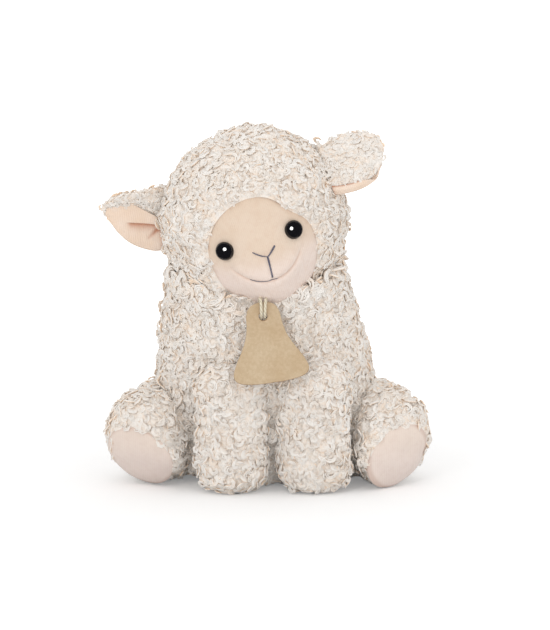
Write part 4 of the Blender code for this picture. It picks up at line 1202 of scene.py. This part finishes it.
def make_sole(side):
    """The padded sole: a crowned oval over the leg's end, with its edge turned in."""
    name = "hind_leg_" + side
    limb = limbs[name]
    ring = placed(limb["frame"], limb_points(limb, BED * 0.5, SOLE_SIDES)[-1])
    middle = ring.mean(0)
    way = ring - middle
    outward = SIGN[side] * way[:, 0] / SOLE_SIDE_SCALE
    outer = smoothstep(-0.2, 1.0, -way[:, 2] / SOLE_LOW_SCALE + outward)
    ring = ring + way / np.linalg.norm(way, axis=1)[:, None] * (SOLE_OVERLAP * outer)[:, None]
    across = Vector((math.tan(limb["out"]), math.tan(limb["down"]), 1.0)).normalized()
    normal = np.array(limb["frame"].to_3x3() @ -across)
    profile = list(SOLE_EDGE_PROFILE)
    for share in np.linspace(0.98, 0.06, 22):
        shoulder = math.sin(min(1.0, (1 - share) * 8) * math.pi / 2)
        profile.append((share, SOLE_CROWN * (1 - share**2.2) + SOLE_EDGE * shoulder))
    rings = np.array([middle + (ring - middle) * share + normal * lift for share, lift in profile])
    mesh = ring_mesh(name + "_sole", on_floor(rings), rings[0].mean(0), rings[-1].mean(0) + normal * 0.00001)
    points = coords(mesh)
    points += np.outer(waves(points, SOLE_DENT_LENGTH, 8), normal) * SOLE_DENTS
    set_coords(mesh, on_floor(points))
    edge = np.linalg.norm(points - middle, axis=1) / np.linalg.norm(ring - middle, axis=1).mean()
    # Painted shade round the sole's turned-in edge.
    set_value(mesh, "crease_shade", smoothstep(0.88, 1.02, edge) * 0.7)
    # Painted shade towards the bottom of the sole.
    set_value(mesh, "low", smoothstep(SOLE_SHADE_TOP, SOLE_SHADE_LOW, points[:, 2]))
    set_value(mesh, "rib", points[:, 0] / RIB_STEP)
    add_piece(name + "_sole", mesh, SOLE, name, (name + "_sole",))


limbs = {}
for side in SIGN:
    limbs["front_leg_" + side] = front_limb(side)
    limbs["hind_leg_" + side] = hind_limb(side)
limbs["tail"] = tail_limb()
meshes = {name: limb_mesh(name, limb) for name, limb in limbs.items()}
trees = {name: tree_of(mesh) for name, mesh in meshes.items()}

make_torso()
for limb_name, limb_data in limbs.items():
    make_limb(limb_name, limb_data)
for side in SIGN:
    make_sole(side)


# Head


def face_point(x, z, lift=0.0):
    """Points on the face's skin at x and z of the head's frame, moved out by a lift."""
    x, z = np.broadcast_arrays(np.asarray(x, float), np.asarray(z, float))
    forward = np.full(x.shape, HEAD_R)
    for _ in range(30):
        d = np.stack([x, -forward, z], -1)
        d /= np.linalg.norm(d, axis=-1)[..., None]
        forward = np.sqrt(np.maximum(skin_radius(d) ** 2 - x**2 - z**2, 1e-8))
    point = np.stack([x, -forward, z], -1)
    return point + point / np.linalg.norm(point, axis=-1)[..., None] * lift


EYE_SIDE = {"left": math.radians(23.6), "right": math.radians(21.5)}
EYE_RISE = {"left": math.radians(6.1), "right": math.radians(6.8)}
EYE_R = 0.0066
EYE_DOME = 0.0058
EYE_BACK = 0.0016
EYE_PROUD = 0.0012
EYE_SUNK = 0.0010


def eye_ray(side):
    """The direction of an eye from the head's centre."""
    turn = SIGN[side] * EYE_SIDE[side]
    rise = EYE_RISE[side]
    return np.array([math.sin(turn) * math.cos(rise), -math.cos(turn) * math.cos(rise), math.sin(rise)])


CHIN_DROP = 0.0042
SMILE_FADE = (0.019, 0.030)
SMILE_TABLE = np.linspace(-0.03, 0.03, 200)
SMILE_TABLE_STEP = 0.0003
GROOVE = 0.0013
GROOVE_WIDE = 0.0011
SEAM_PUFF = 0.0009
EYE_DIMPLE = 0.0014
EYE_DIMPLE_WIDE = 0.0062
STEM_GROOVE = 0.0008
STEM_WIDE = 0.0016
STEM_TOP = 0.001
STEM_FOOT = -0.018
UPPER_PUFF = (0.0042, 0.0034)
LOWER_PUFF = (0.0045, 0.0036)
LOWER_PUFF_SHARE = 0.8
CHIN_HEIGHT = 0.039
CHIN_WIDE = 0.023
CHIN_HIGH = 0.012
# How much shade is painted in the smile's groove.
GROOVE_SHADE = 0.55


def bell(x, wide):
    """1 at 0, falling smoothly to nothing past that width."""
    return np.exp(-((x / wide) ** 2))


def seam_shape(points):
    """How far the face's skin is pulled in or puffed out by its seams and eyes, and how much shade is painted
    in the smile's groove.
    """
    x, z = points[:, 0], points[:, 2]
    steepness = np.gradient(smile_height(SMILE_TABLE), SMILE_TABLE_STEP)
    nearest = ((x - SMILE_TABLE[0]) / SMILE_TABLE_STEP).astype(int)
    steepness = steepness[np.clip(nearest, 0, len(SMILE_TABLE) - 1)]
    away = (z - smile_height(x)) / np.sqrt(1 + steepness**2)
    fade = 1 - smoothstep(*SMILE_FADE, np.abs(x))
    groove = bell(away, GROOVE_WIDE) * fade
    upper = bell(away - UPPER_PUFF[0], UPPER_PUFF[1])
    lower = bell(away + LOWER_PUFF[0], LOWER_PUFF[1])
    shift = SEAM_PUFF * ((upper + LOWER_PUFF_SHARE * lower) * fade) - GROOVE * groove
    for side in SIGN:
        eye = eye_ray(side)
        gap = np.linalg.norm(points - eye * skin_radius(eye), axis=1)
        shift -= EYE_DIMPLE * bell(gap, EYE_DIMPLE_WIDE)
    shift += CHIN_DROP * bell(x, CHIN_WIDE) * bell(z + CHIN_HEIGHT, CHIN_HIGH)
    below_stem = np.maximum(np.maximum(z - STEM_TOP, STEM_FOOT - z), 0)
    shift -= STEM_GROOVE * bell(np.hypot(x, below_stem), STEM_WIDE)
    return shift, groove * GROOVE_SHADE


def past_rim(points):
    """How far points of the head's frame lie beyond the face's edge, in radians."""
    angle = np.arccos(np.clip(-points[:, 1] / np.linalg.norm(points, axis=1), -1, 1))
    return angle - rim_angle(np.arctan2(points[:, 0], points[:, 2]))


def face_outwards(mesh):
    """Turns a mesh of the head so that its normals point away from the head's centre."""
    if np.mean((coords(mesh) - np.array(HEAD_CENTRE)) * normals(mesh)) < 0:
        mesh.flip_normals()


HEAD_TILTS = (-8, 0, 16, 32)
HOOD_SIDES = 280
HOOD_SHARES = np.concatenate([np.linspace(-0.012, 0.10, 24), np.linspace(0.107, 0.99, 120)])
HOOD_SEED = 2
HOOD_TUCK = 0.0006
HOOD_FRONT = -0.012
HOOD_HIDDEN_DEPTH = 0.006
RIM_WISPS = 0.85


def make_head():
    """The head's hood of fleece, from the face's edge to the back."""
    turns = np.linspace(0, 2 * np.pi, HOOD_SIDES, endpoint=False)
    rim = rim_angle(turns)
    rings = []
    for share in HOOD_SHARES:
        angle = rim + (np.pi - rim) * share
        ray = head_ray(angle, turns)
        tuck = HOOD_TUCK * (1 - smoothstep(-0.012, 0.01, share))
        over = smoothstep(-0.012, 0.035, share) * (PILE - BED) - tuck
        rings.append(ray * (skin_radius(ray) + over)[:, None])
    back = np.array([0.0, HEAD_BACK_R + PILE - BED, 0.0])
    mesh = ring_mesh("head_hood", rings, None, back)
    points = coords(mesh)
    past = past_rim(points)
    puff, crevice_shade = clumps(points, HOOD_SEED)
    puff *= smoothstep(-0.03, 0.05, past)
    points += (points / np.linalg.norm(points, axis=1)[:, None]) * puff[:, None]
    set_coords(mesh, placed(HEAD, points))
    world = coords(mesh)
    share = smoothstep(-0.022, -0.006, past)
    axis = np.array(HEAD)[:3, 1]
    poses = [turned_about(HEAD_CENTRE, axis, a) for a in HEAD_TILTS]
    share[always_inside(torso_tree, world, poses, HOOD_HIDDEN_DEPTH)] = 0.0
    set_value(mesh, "wool_share", share)
    set_value(mesh, "wool_size", RIM_WISPS + (1 - RIM_WISPS) * smoothstep(0.0, 0.25, past))
    set_value(mesh, "crevice_shade", crevice_shade)
    face_outwards(mesh)
    solids = ("head_cover", "head_stuffing", "eye_washer_left", "eye_washer_right")
    add_piece("head_hood", mesh, GROUND, "head", solids)
    inverse = HEAD.inverted()

    def behind(p, on_right):
        place = inverse @ p
        return place.y >= HOOD_FRONT and (place.x >= 0.0) == on_right

    add_wool("head_wool_front", mesh, "head", keep=lambda p: (inverse @ p).y < HOOD_FRONT)
    add_wool("head_wool_left", mesh, "head", keep=lambda p: behind(p, False))
    add_wool("head_wool_right", mesh, "head", keep=lambda p: behind(p, True))


FACE_SIDES = 300
FACE_RINGS = 105
FACE_UNDER_HOOD = math.radians(1.6)
FACE_EDGE_SUNK = 0.0012
FACE_DENTS = 0.0003
FACE_DENT_LENGTH = 0.03


def make_face():
    """The velour face, from its middle to under the hood's edge."""
    turns = np.linspace(0, 2 * np.pi, FACE_SIDES, endpoint=False)
    rim = rim_angle(turns) + FACE_UNDER_HOOD
    rings = []
    for share in np.linspace(0.012, 1.0, FACE_RINGS):
        ray = head_ray(rim * share, turns)
        rings.append(ray * skin_radius(ray)[:, None])
    rings = np.array(rings)
    mesh = ring_mesh("face", rings, rings[0].mean(0))
    points = coords(mesh)
    shift, crease_shade = seam_shape(points)
    ray = points / np.linalg.norm(points, axis=1)[:, None]
    edge = smoothstep(-0.10, 0.02, past_rim(points))
    shift += -FACE_EDGE_SUNK * edge + waves(points, FACE_DENT_LENGTH, 6) * FACE_DENTS
    points += ray * shift[:, None]
    set_coords(mesh, placed(HEAD, points))
    face_outwards(mesh)
    # Painted shade in the smile's groove and under the hood's edge.
    set_value(mesh, "crease_shade", np.clip(crease_shade + edge * 0.5, 0, 1))
    set_value(mesh, "low", smoothstep(0.010, -0.022, points[:, 2]))
    set_value(mesh, "rib", points[:, 0] / RIB_STEP)
    add_piece("face", mesh, VELOUR, "head", ("face_panel", "chin_panel"))


def tube_mesh(name, path, radius, sides=12):
    """A round tube along the path, with tube_uv round it and along it in metres."""
    path = np.asarray(path, float)
    along = np.gradient(path, axis=0)
    along /= np.linalg.norm(along, axis=1)[:, None]
    side = np.cross(along[0], [0.3, 0.5, 0.8])
    rings = []
    run = np.concatenate([[0], np.cumsum(np.linalg.norm(np.diff(path, axis=0), axis=1))])
    ends = np.minimum(run, run[-1] - run)
    for index, point in enumerate(path):
        side = side - along[index] * side.dot(along[index])
        side /= np.linalg.norm(side)
        up = np.cross(along[index], side)
        r = radius * math.sqrt(max(1 - max(1 - ends[index] / radius, 0) ** 2, 0.12))
        around = np.linspace(0, 2 * np.pi, sides, endpoint=False)
        rings.append(point + r * (np.cos(around)[:, None] * side + np.sin(around)[:, None] * up))
    mesh = ring_mesh(name, rings, path[0], path[-1])
    flat = []
    last = len(path) * sides
    for polygon in mesh.polygons:
        places = [v % sides for v in polygon.vertices if v < last]
        wraps = places and max(places) - min(places) > 1
        for vertex in polygon.vertices:
            s = vertex % sides if vertex < last else 0
            u = (s + (sides if wraps and s == 0 else 0)) / sides
            flat += [u, run[min(vertex // sides, len(path) - 1)]]
    mesh.attributes.new("tube_uv", "FLOAT2", "CORNER").data.foreach_set("vector", np.array(flat, np.float32))
    return mesh


def join_meshes(name, parts):
    """One mesh made of several, with their stored values kept."""
    objects = []
    for part in parts:
        item = bpy.data.objects.new(name, part)
        scene.collection.objects.link(item)
        objects.append(item)
    chosen = {"selected_editable_objects": objects, "selected_objects": objects}
    with bpy.context.temp_override(active_object=objects[0], **chosen):
        bpy.ops.object.join()
    mesh = objects[0].data
    bpy.data.objects.remove(objects[0])
    return mesh


def stitch(path_x, path_z, radius, strands, lift):
    """A few threads side by side on the face, which wander a little."""
    parts = []
    path_x, path_z = np.asarray(path_x, float), np.asarray(path_z, float)
    dx, dz = np.gradient(path_x), np.gradient(path_z)
    length = np.hypot(dx, dz)
    rng = np.random.default_rng(len(path_x) + int(1e6 * abs(path_x[0])))
    for strand in range(strands):
        offset = (strand - (strands - 1) / 2) * radius * 1.25
        wobble = radius * 0.4 * np.sin(np.linspace(0, rng.uniform(4, 9), len(path_x)) + rng.uniform(0, 6))
        x = path_x - dz / length * (offset + wobble)
        z = path_z + dx / length * (offset + wobble)
        base = face_point(x, z)
        shift, _ = seam_shape(base)
        ends = np.sin(np.linspace(0, np.pi, len(x))) ** 0.35
        raised = shift + (lift + radius * (strand % 2) * 0.4) * ends
        base += base / np.linalg.norm(base, axis=1)[:, None] * raised[:, None]
        parts.append(tube_mesh("strand", placed(HEAD, base), radius, 8))
    return parts


NOSE_JUNCTION = (0.0011, -0.0012)
NOSE_LEFT = (-0.0080, 0.0040)
NOSE_RIGHT = (0.0080, 0.0042)
NOSE_FOOT = (0.0003, -0.0167)
MOUTH_ENDS = (-0.0150, 0.0040)


def thread_line(start, end, sag, count=26):
    """A line of points from start to end on the face, hanging down a little half way."""
    t = np.linspace(0, 1, count)
    x = start[0] + (end[0] - start[0]) * t
    z = start[1] + (end[1] - start[1]) * t - sag * np.sin(np.pi * t)
    return x, z


def make_features():
    """The nose's and the mouth's threads, and the eyes, which it returns."""
    parts = []
    parts += stitch(*thread_line(NOSE_LEFT, NOSE_JUNCTION, 0.0004), 0.00022, 2, 0.0003)
    parts += stitch(*thread_line(NOSE_RIGHT, NOSE_JUNCTION, 0.0002), 0.00024, 3, 0.0003)
    parts += stitch(*thread_line(NOSE_JUNCTION, NOSE_FOOT, 0.0), 0.00026, 3, 0.0004)
    add_piece("nose_thread", join_meshes("nose_thread", parts), THREAD, "head", ("nose_stitch",))
    x = np.linspace(*MOUTH_ENDS, 60)
    line = stitch(x, smile_height(x), 0.00020, 2, 0.0001)
    add_piece("mouth_thread", join_meshes("mouth_thread", line), THREAD, "head", ("mouth_stitch",))
    return [make_eye(side) for side in SIGN]


EYE_SIDES = 64
EYE_RINGS = 40


def make_eye(side):
    """A glossy eye: a high dome in front and a flatter back, sunk a little in the face."""
    ray = eye_ray(side)
    turn = Vector(ray).to_track_quat("Z", "Y").to_matrix().to_4x4()
    rings = []
    for angle in np.linspace(-0.98, 0.98, EYE_RINGS) * math.pi / 2:
        height = EYE_PROUD + (EYE_DOME if angle > 0 else EYE_BACK) * math.sin(angle)
        x, y = oval(EYE_SIDES, EYE_R * math.cos(angle), EYE_R * math.cos(angle))
        rings.append(np.stack([x, y, np.full(EYE_SIDES, height)], -1))
    seat = HEAD @ Matrix.Translation(ray * (skin_radius(ray) - EYE_SUNK)) @ turn
    points = placed_rings(seat, rings)
    mesh = ring_mesh("eye_ball_" + side, points, points[0].mean(0), points[-1].mean(0))
    return add_piece("eye_ball_" + side, mesh, EYE, "head", ("eye_" + side,))


EAR_ROLL = 0.0034
EAR_SPACING_SHARE = 0.8
EAR_SIDES = 90
EAR_RINGS = 56
EAR_WISPS = 0.85
EAR_BARE_MARGIN = 0.001
EAR_BARE_EDGE = 0.0045
EAR_THINNEST = 0.0008
PLEAT_DOWN = 0.0074
LINING_COLUMNS = 70
LINING_THICK = 0.0010
HEM_COLUMNS = 11
FOLD_START = (0.0075, 0.0018)
FOLD_END = (0.0170, 0.0105)
FOLD_WIDE = 0.0014


def ear_frame(side):
    """The ear's own frame: x across it, y out of its lined face and z from its root to its tip."""
    outward = Vector(EAR_OUT[side]).normalized()
    seat = Vector(EAR_AT[side]).normalized() * EAR_SEAT
    forward = Vector((0.0, -1.0, 0.0))
    level = (forward - outward * forward.dot(outward)).normalized()
    upward = outward.cross(level) * -SIGN[side]
    facing = level * math.cos(EAR_TWIST[side]) - upward * math.sin(EAR_TWIST[side])
    across = facing.cross(outward)
    turn = Matrix((across, facing, outward)).transposed().to_4x4()
    return Matrix.Translation(EAR_SHIFT[side]) @ HEAD @ Matrix.Translation(seat) @ turn


def ear_bend(x, wide, cup):
    """How far the ear's face is cupped at x, where its half width is wide."""
    return EAR_CUP * cup * (x / wide) ** 2


def make_ear(side):
    """An ear's flap of fleece, bare where its lining lies, and the lining."""
    local = ear_frame(side)
    length = EAR_REACH[side]
    rings = []
    for angle in np.radians(np.linspace(-80, -8, 8)):
        root = EAR_ROOT - BED * 0.5
        x, y = oval(EAR_SIDES, EAR_HALF_WIDTH * 0.9 - BED, root * math.cos(angle), 2.6)
        rings.append(np.stack([x, y, np.full(EAR_SIDES, root * math.sin(angle))], -1))
    for reach, upper, lower, thick, cup in spread(EAR_ROWS[side], EAR_RINGS):
        x, y = oval(EAR_SIDES, 1.0, EAR_HALF * thick - BED * 0.5, EAR_ROUNDNESS)
        wide = np.where(x > 0, lower, upper) * EAR_HALF_WIDTH
        rolled = smoothstep(0.05, 0.75, -x) * smoothstep(0.0, 0.25, reach) * (1 - smoothstep(0.9, 1.0, reach))
        x = x * np.maximum(wide - EAR_EDGE_BED, EAR_THINNEST)
        y = y + ear_bend(x, wide, cup) + EAR_ROLL * rolled * np.where(y > 0, 1.0, 0.25)
        rings.append(np.stack([x, y, np.full(EAR_SIDES, (length - EAR_EDGE_BED) * reach)], -1))
    points = placed_rings(local, rings)
    mesh = ring_mesh("ear_" + side, points, points[0].mean(0), points[-1].mean(0))
    flat = placed(local.inverted(), coords(mesh))
    facing = (normals(mesh) @ np.array(local.to_3x3()))[:, 1]
    reach = flat[:, 2] / length
    rows = EAR_ROWS[side]
    edge = np.interp(reach, [row[0] for row in rows], [row[2] for row in rows]) * EAR_HALF_WIDTH
    bare_from = np.interp(reach, *zip(*EAR_BARE_FROM))
    share = np.ones(len(flat))
    share[(facing > 0.15) & (flat[:, 0] > bare_from + EAR_BARE_MARGIN) & (reach < EAR_BARE_TO)] = 0.0
    near_edge = flat[:, 0] > edge - EAR_BARE_EDGE
    if EAR_HEM[side] > 0:
        share[near_edge & (reach < 0.5)] = 0.0
    else:
        share[near_edge & (reach < EAR_BARE_TO - 0.06) & (facing > -0.5)] = 0.0
    share[flat[:, 2] < -0.002] = 0.0
    set_value(mesh, "wool_share", share)
    set_value(mesh, "wool_size", np.full(len(flat), EAR_WISPS))
    set_value(mesh, "crevice_shade", clumps(coords(mesh), len(side))[1])
    name = "ear_" + side
    add_piece(name, mesh, GROUND, name, (name + "_cover",))
    add_wool(name + "_wool", mesh, name, spacing=SPACING * EAR_SPACING_SHARE)
    make_lining(side, local, length)


def make_lining(side, local, length):
    """The smooth lining: a pleat runs out from the root, with a second short fold below it."""
    columns = np.linspace(0, 1, LINING_COLUMNS)
    grid = []
    crease_shades = []
    ribs = []
    for reach, _, lower, thick, cup in spread(EAR_ROWS[side], 90):
        if reach < 0.015 or reach > EAR_BARE_TO + 0.02:
            continue
        wide = lower * EAR_HALF_WIDTH
        start = np.interp(reach, *zip(*EAR_BARE_FROM)) - 0.0025
        stop = wide * (1.0 - 0.25 * smoothstep(0.70, 0.88, reach))
        x = start + (stop - start) * columns
        z = length * reach + 0.0008 * np.sin(columns * 5.0)
        below = x - PLEAT_DOWN
        pleat = smoothstep(-0.0004, 0.0004, below) * (1 - smoothstep(0.48, 0.60, reach))
        fold = second_fold(x, z)
        y = EAR_HALF * thick + 0.0010 * (1 - columns**4) + ear_bend(x, wide, cup)
        y = y - 0.0015 * pleat * np.exp(-np.maximum(below, 0) / 0.006) - 0.0011 * fold
        y = y - 0.0024 * smoothstep(0.93, 1.0, columns) + 0.0004 * np.sin(columns * 11 + reach * 4)
        # Painted shade just below the pleat, fading downwards.
        crease_shade = pleat * np.exp(-np.maximum(below, 0) / 0.0038)
        if EAR_HEM[side] > 0:
            hem = np.linspace(0, 1, HEM_COLUMNS + 1)[1:] * (1 - smoothstep(0.40, 0.74, reach))
            bulge = 0.0008 * np.sin(np.pi * np.minimum(hem, 0.5))
            hem_y = -EAR_HALF * thick * smoothstep(0, 0.3, hem) - bulge
            x = np.concatenate([x, x[-1] - EAR_HEM[side] * hem])
            y = np.concatenate([y, y[-1] + hem_y])
            z = np.concatenate([z, np.full(HEM_COLUMNS, z[-1])])
            # Painted shade on the hem that turns under.
            crease_shade = np.concatenate([crease_shade, 0.8 * smoothstep(0.6, 1.0, hem)])
            fold = np.concatenate([fold, np.zeros(HEM_COLUMNS)])
        # Painted shade at the ear's root, where it meets the head.
        root = 1 - smoothstep(0.0, 0.10, reach)
        grid.append(np.stack([x, y, z], -1))
        ribs.append(z / RIB_STEP)
        # Painted shade along the pleat, along the second fold and at the root.
        crease_shades.append(np.clip(0.95 * crease_shade + 0.8 * fold + 0.5 * root, 0, 1))
    name = "ear_%s_lining" % side
    mesh = ring_mesh(name, placed_rings(local, grid), closed=False)
    if np.mean(normals(mesh) @ np.array(local.to_3x3())[:, 1]) < 0:
        mesh.flip_normals()
    set_value(mesh, "rib", np.array(ribs).ravel())
    set_value(mesh, "crease_shade", np.array(crease_shades).ravel())
    piece = add_piece(name, mesh, LINING, "ear_" + side, (name,))
    solid = piece.modifiers.new("cloth", "SOLIDIFY")
    solid.thickness = LINING_THICK
    solid.offset = -1.0


def second_fold(x, z):
    """A soft fold from the pleat's root slantwise down, 1 on its line."""
    start = np.array(FOLD_START)
    along = np.array(FOLD_END) - start
    share = np.clip(((x - start[0]) * along[0] + (z - start[1]) * along[1]) / along.dot(along), 0, 1)
    gap = np.hypot(x - start[0] - along[0] * share, z - start[1] - along[1] * share)
    return bell(gap, FOLD_WIDE) * (1 - 0.6 * share)


make_head()
make_face()
eyes = make_features()
for side in SIGN:
    make_ear(side)


# Tag and cord


TAG_HALF_WIDTH = 0.026
TAG_ABOVE_HOLE = 0.0095
TAG_BELOW_HOLE = 0.046
TAG_HOLE_R = 0.0030
TAG_HALF_THICK = 0.0006
TAG_EDGE_ROUND = 0.00018
TAG_TOP = ((1.0, 0.0), (0.97, 0.16), (0.82, 0.30), (0.5, 0.40), (0.0, 0.455))
TAG_EDGE = (
    (0.14, 0.48),
    (0.30, 0.55),
    (0.46, 0.68),
    (0.60, 0.83),
    (0.72, 0.94),
    (0.82, 1.0),
    (0.90, 0.97),
    (0.955, 0.84),
    (0.985, 0.60),
    (1.0, 0.30),
    (1.0, 0.0),
)
TAG_SHARES = np.concatenate([[0.0, 0.02], np.linspace(0.08, 0.94, 22), [0.985, 1.0]])
TAG_RIPPLE = 0.0011
TAG_CURL = 0.72


def make_tag():
    """The bell-shaped card, slightly curled, with its hole and its cut edges."""
    half = [(TAG_HALF_WIDTH * wide, TAG_ABOVE_HOLE * up) for up, wide in TAG_TOP]
    half += [(TAG_HALF_WIDTH * wide, -TAG_BELOW_HOLE * down) for down, wide in TAG_EDGE]
    line = spread(half, 90)
    line[0, 0] = line[-1, 0] = 0.0
    outline = np.concatenate([line, (line * [-1, 1])[1:-1][::-1]])
    count = len(outline)
    turn = np.arctan2(outline[:, 0], outline[:, 1])
    hole = np.stack([TAG_HOLE_R * np.sin(turn), TAG_HOLE_R * np.cos(turn)], -1)
    rings = []
    cut = []
    for face_side in (-1.0, 1.0):
        for share in TAG_SHARES if face_side < 0 else TAG_SHARES[::-1]:
            at_edge = share in (0.0, 1.0)
            flat = hole * (1 - share) + outline * share
            depth = TAG_HALF_THICK - (TAG_EDGE_ROUND if at_edge else 0.0)
            ripple = TAG_RIPPLE * np.sin(flat[:, 1] * 55 + 0.6) * smoothstep(0.0, 0.02, -flat[:, 1])
            warp = ripple + TAG_CURL * flat[:, 0] ** 2
            rings.append(np.stack([flat[:, 0], face_side * depth + warp, flat[:, 1]], -1))
            cut.append(np.full(count, float(at_edge)))
    rings.append(rings[0])
    cut.append(cut[0])
    mesh = ring_mesh("tag_card", placed_rings(TAG_FRAME, rings))
    set_value(mesh, "cut", np.concatenate(cut))
    return add_piece("tag_card", mesh, CARD, "tag", ("hang_tag",))


def make_cord(card):
    """The satin cord, from the seam under the chin through the card's hole and back."""
    left = [np.array(p) for p in CORD_HALF]
    right = [np.array((2 * CORD_FOOT[0] - p[0], p[1], p[2])) for p in reversed(CORD_HALF)]
    path = spread(left + [np.array(CORD_FOOT)] + right, 220)
    mesh = tube_mesh("cord", path, CORD_DIAMETER / 2, 24)
    piece = add_piece("cord", mesh, CORD, "tag", ("tag_cord",))


make_cord(make_tag())


# Stage


LIGHT_TARGET = (0.0, 0.0, 0.12)
LIGHTS = (
    ("key", (-0.8, -1.9, 1.1), 0.6, 4.5),
    ("fill", (0.4, -2.1, 0.1), 1.4, 7.5),
    ("top", (0.1, 0.4, 1.9), 1.2, 0.8),
)
GLINT_PLACE = (-0.22, -1.08, 0.56)
GLINT_SIZE = 0.75
GLINT_POWER = 60.0
STUDIO_LIGHT = 0.94
STUDIO_GLOSS = 0.12
FLOOR_HALF = 30.0


def add_light(name, place, size, power, target=LIGHT_TARGET, glints=False):
    """A round soft lamp aimed at a target. Only one with glints shows in glossy surfaces."""
    data = bpy.data.lights.new(name, "AREA")
    data.shape = "DISK"
    data.size = size
    data.energy = power
    lamp = bpy.data.objects.new(name, data)
    scene.collection.objects.link(lamp)
    lamp.visible_glossy = glints
    lamp.location = place
    lamp.rotation_euler = (Vector(target) - Vector(place)).to_track_quat("-Z", "Y").to_euler()
    return lamp


def make_stage():
    """The floor, the lamps, the glint in the eyes and the plain pale surroundings."""
    floor_mesh = bpy.data.meshes.new("floor")
    far = FLOOR_HALF
    corners = [(-far, -far, 0), (far, -far, 0), (far, far, 0), (-far, far, 0)]
    floor_mesh.from_pydata(corners, [], [(0, 1, 2, 3)])
    floor_mesh.materials.append(floor_paint())
    floor = bpy.data.objects.new("floor", floor_mesh)
    scene.collection.objects.link(floor)
    for light in LIGHTS:
        add_light(*light)
    eye_place = eyes[0].data.vertices[0].co
    glint = add_light("glint", GLINT_PLACE, GLINT_SIZE, GLINT_POWER, eye_place, glints=True)
    glint.visible_diffuse = False
    lit = bpy.data.collections.new("eyes")
    for eye in eyes:
        lit.objects.link(eye)
    glint.light_linking.receiver_collection = lit
    world = bpy.data.worlds.new("studio")
    scene.world = world
    world.use_nodes = True
    nodes, links = world.node_tree.nodes, world.node_tree.links
    path = nodes.new("ShaderNodeLightPath")
    rays = nodes["Background"]
    rays.inputs["Strength"].default_value = STUDIO_LIGHT
    for output, strength in (("Is Glossy Ray", STUDIO_GLOSS), ("Is Camera Ray", 1.0)):
        ground = nodes.new("ShaderNodeBackground")
        ground.inputs["Strength"].default_value = strength
        ground.inputs["Color"].default_value = WHITE
        mixer = nodes.new("ShaderNodeMixShader")
        links.new(path.outputs[output], mixer.inputs[0])
        links.new(rays.outputs[0], mixer.inputs[1])
        links.new(ground.outputs[0], mixer.inputs[2])
        rays = mixer
    nodes["Background"].inputs["Color"].default_value = WHITE
    links.new(rays.outputs[0], nodes["World Output"].inputs[0])
    scene.view_settings.view_transform = "Standard"


PHOTO_WIDTH = 550
PHOTO_HEIGHT = 630
ORIGIN_IN_PHOTO = (269, 480)
PIXEL = 0.0007
SENSOR = 36.0
CAMERA_RISE = math.radians(10.0)
CAMERA_DISTANCE = 3.0
CAMERA_AIM = 0.12


def make_camera():
    """The camera at the photograph's angle. PIXEL is what one of its pixels spans at the sheep, in metres."""
    data = bpy.data.cameras.new("camera")
    data.sensor_fit = "HORIZONTAL"
    data.sensor_width = SENSOR
    data.lens = CAMERA_DISTANCE / PIXEL * SENSOR / PHOTO_WIDTH
    aim_in_photo = ORIGIN_IN_PHOTO[1] - CAMERA_AIM * math.cos(CAMERA_RISE) / PIXEL
    data.shift_x = (PHOTO_WIDTH / 2 - ORIGIN_IN_PHOTO[0]) / PHOTO_WIDTH
    data.shift_y = (aim_in_photo - PHOTO_HEIGHT / 2) / PHOTO_WIDTH
    camera = bpy.data.objects.new("camera", data)
    scene.collection.objects.link(camera)
    look = Vector((0.0, math.cos(CAMERA_RISE), -math.sin(CAMERA_RISE)))
    camera.location = Vector((0.0, 0.0, CAMERA_AIM)) - look * CAMERA_DISTANCE
    camera.rotation_euler = (math.radians(90.0) - CAMERA_RISE, 0.0, 0.0)
    scene.camera = camera


make_stage()
make_camera()
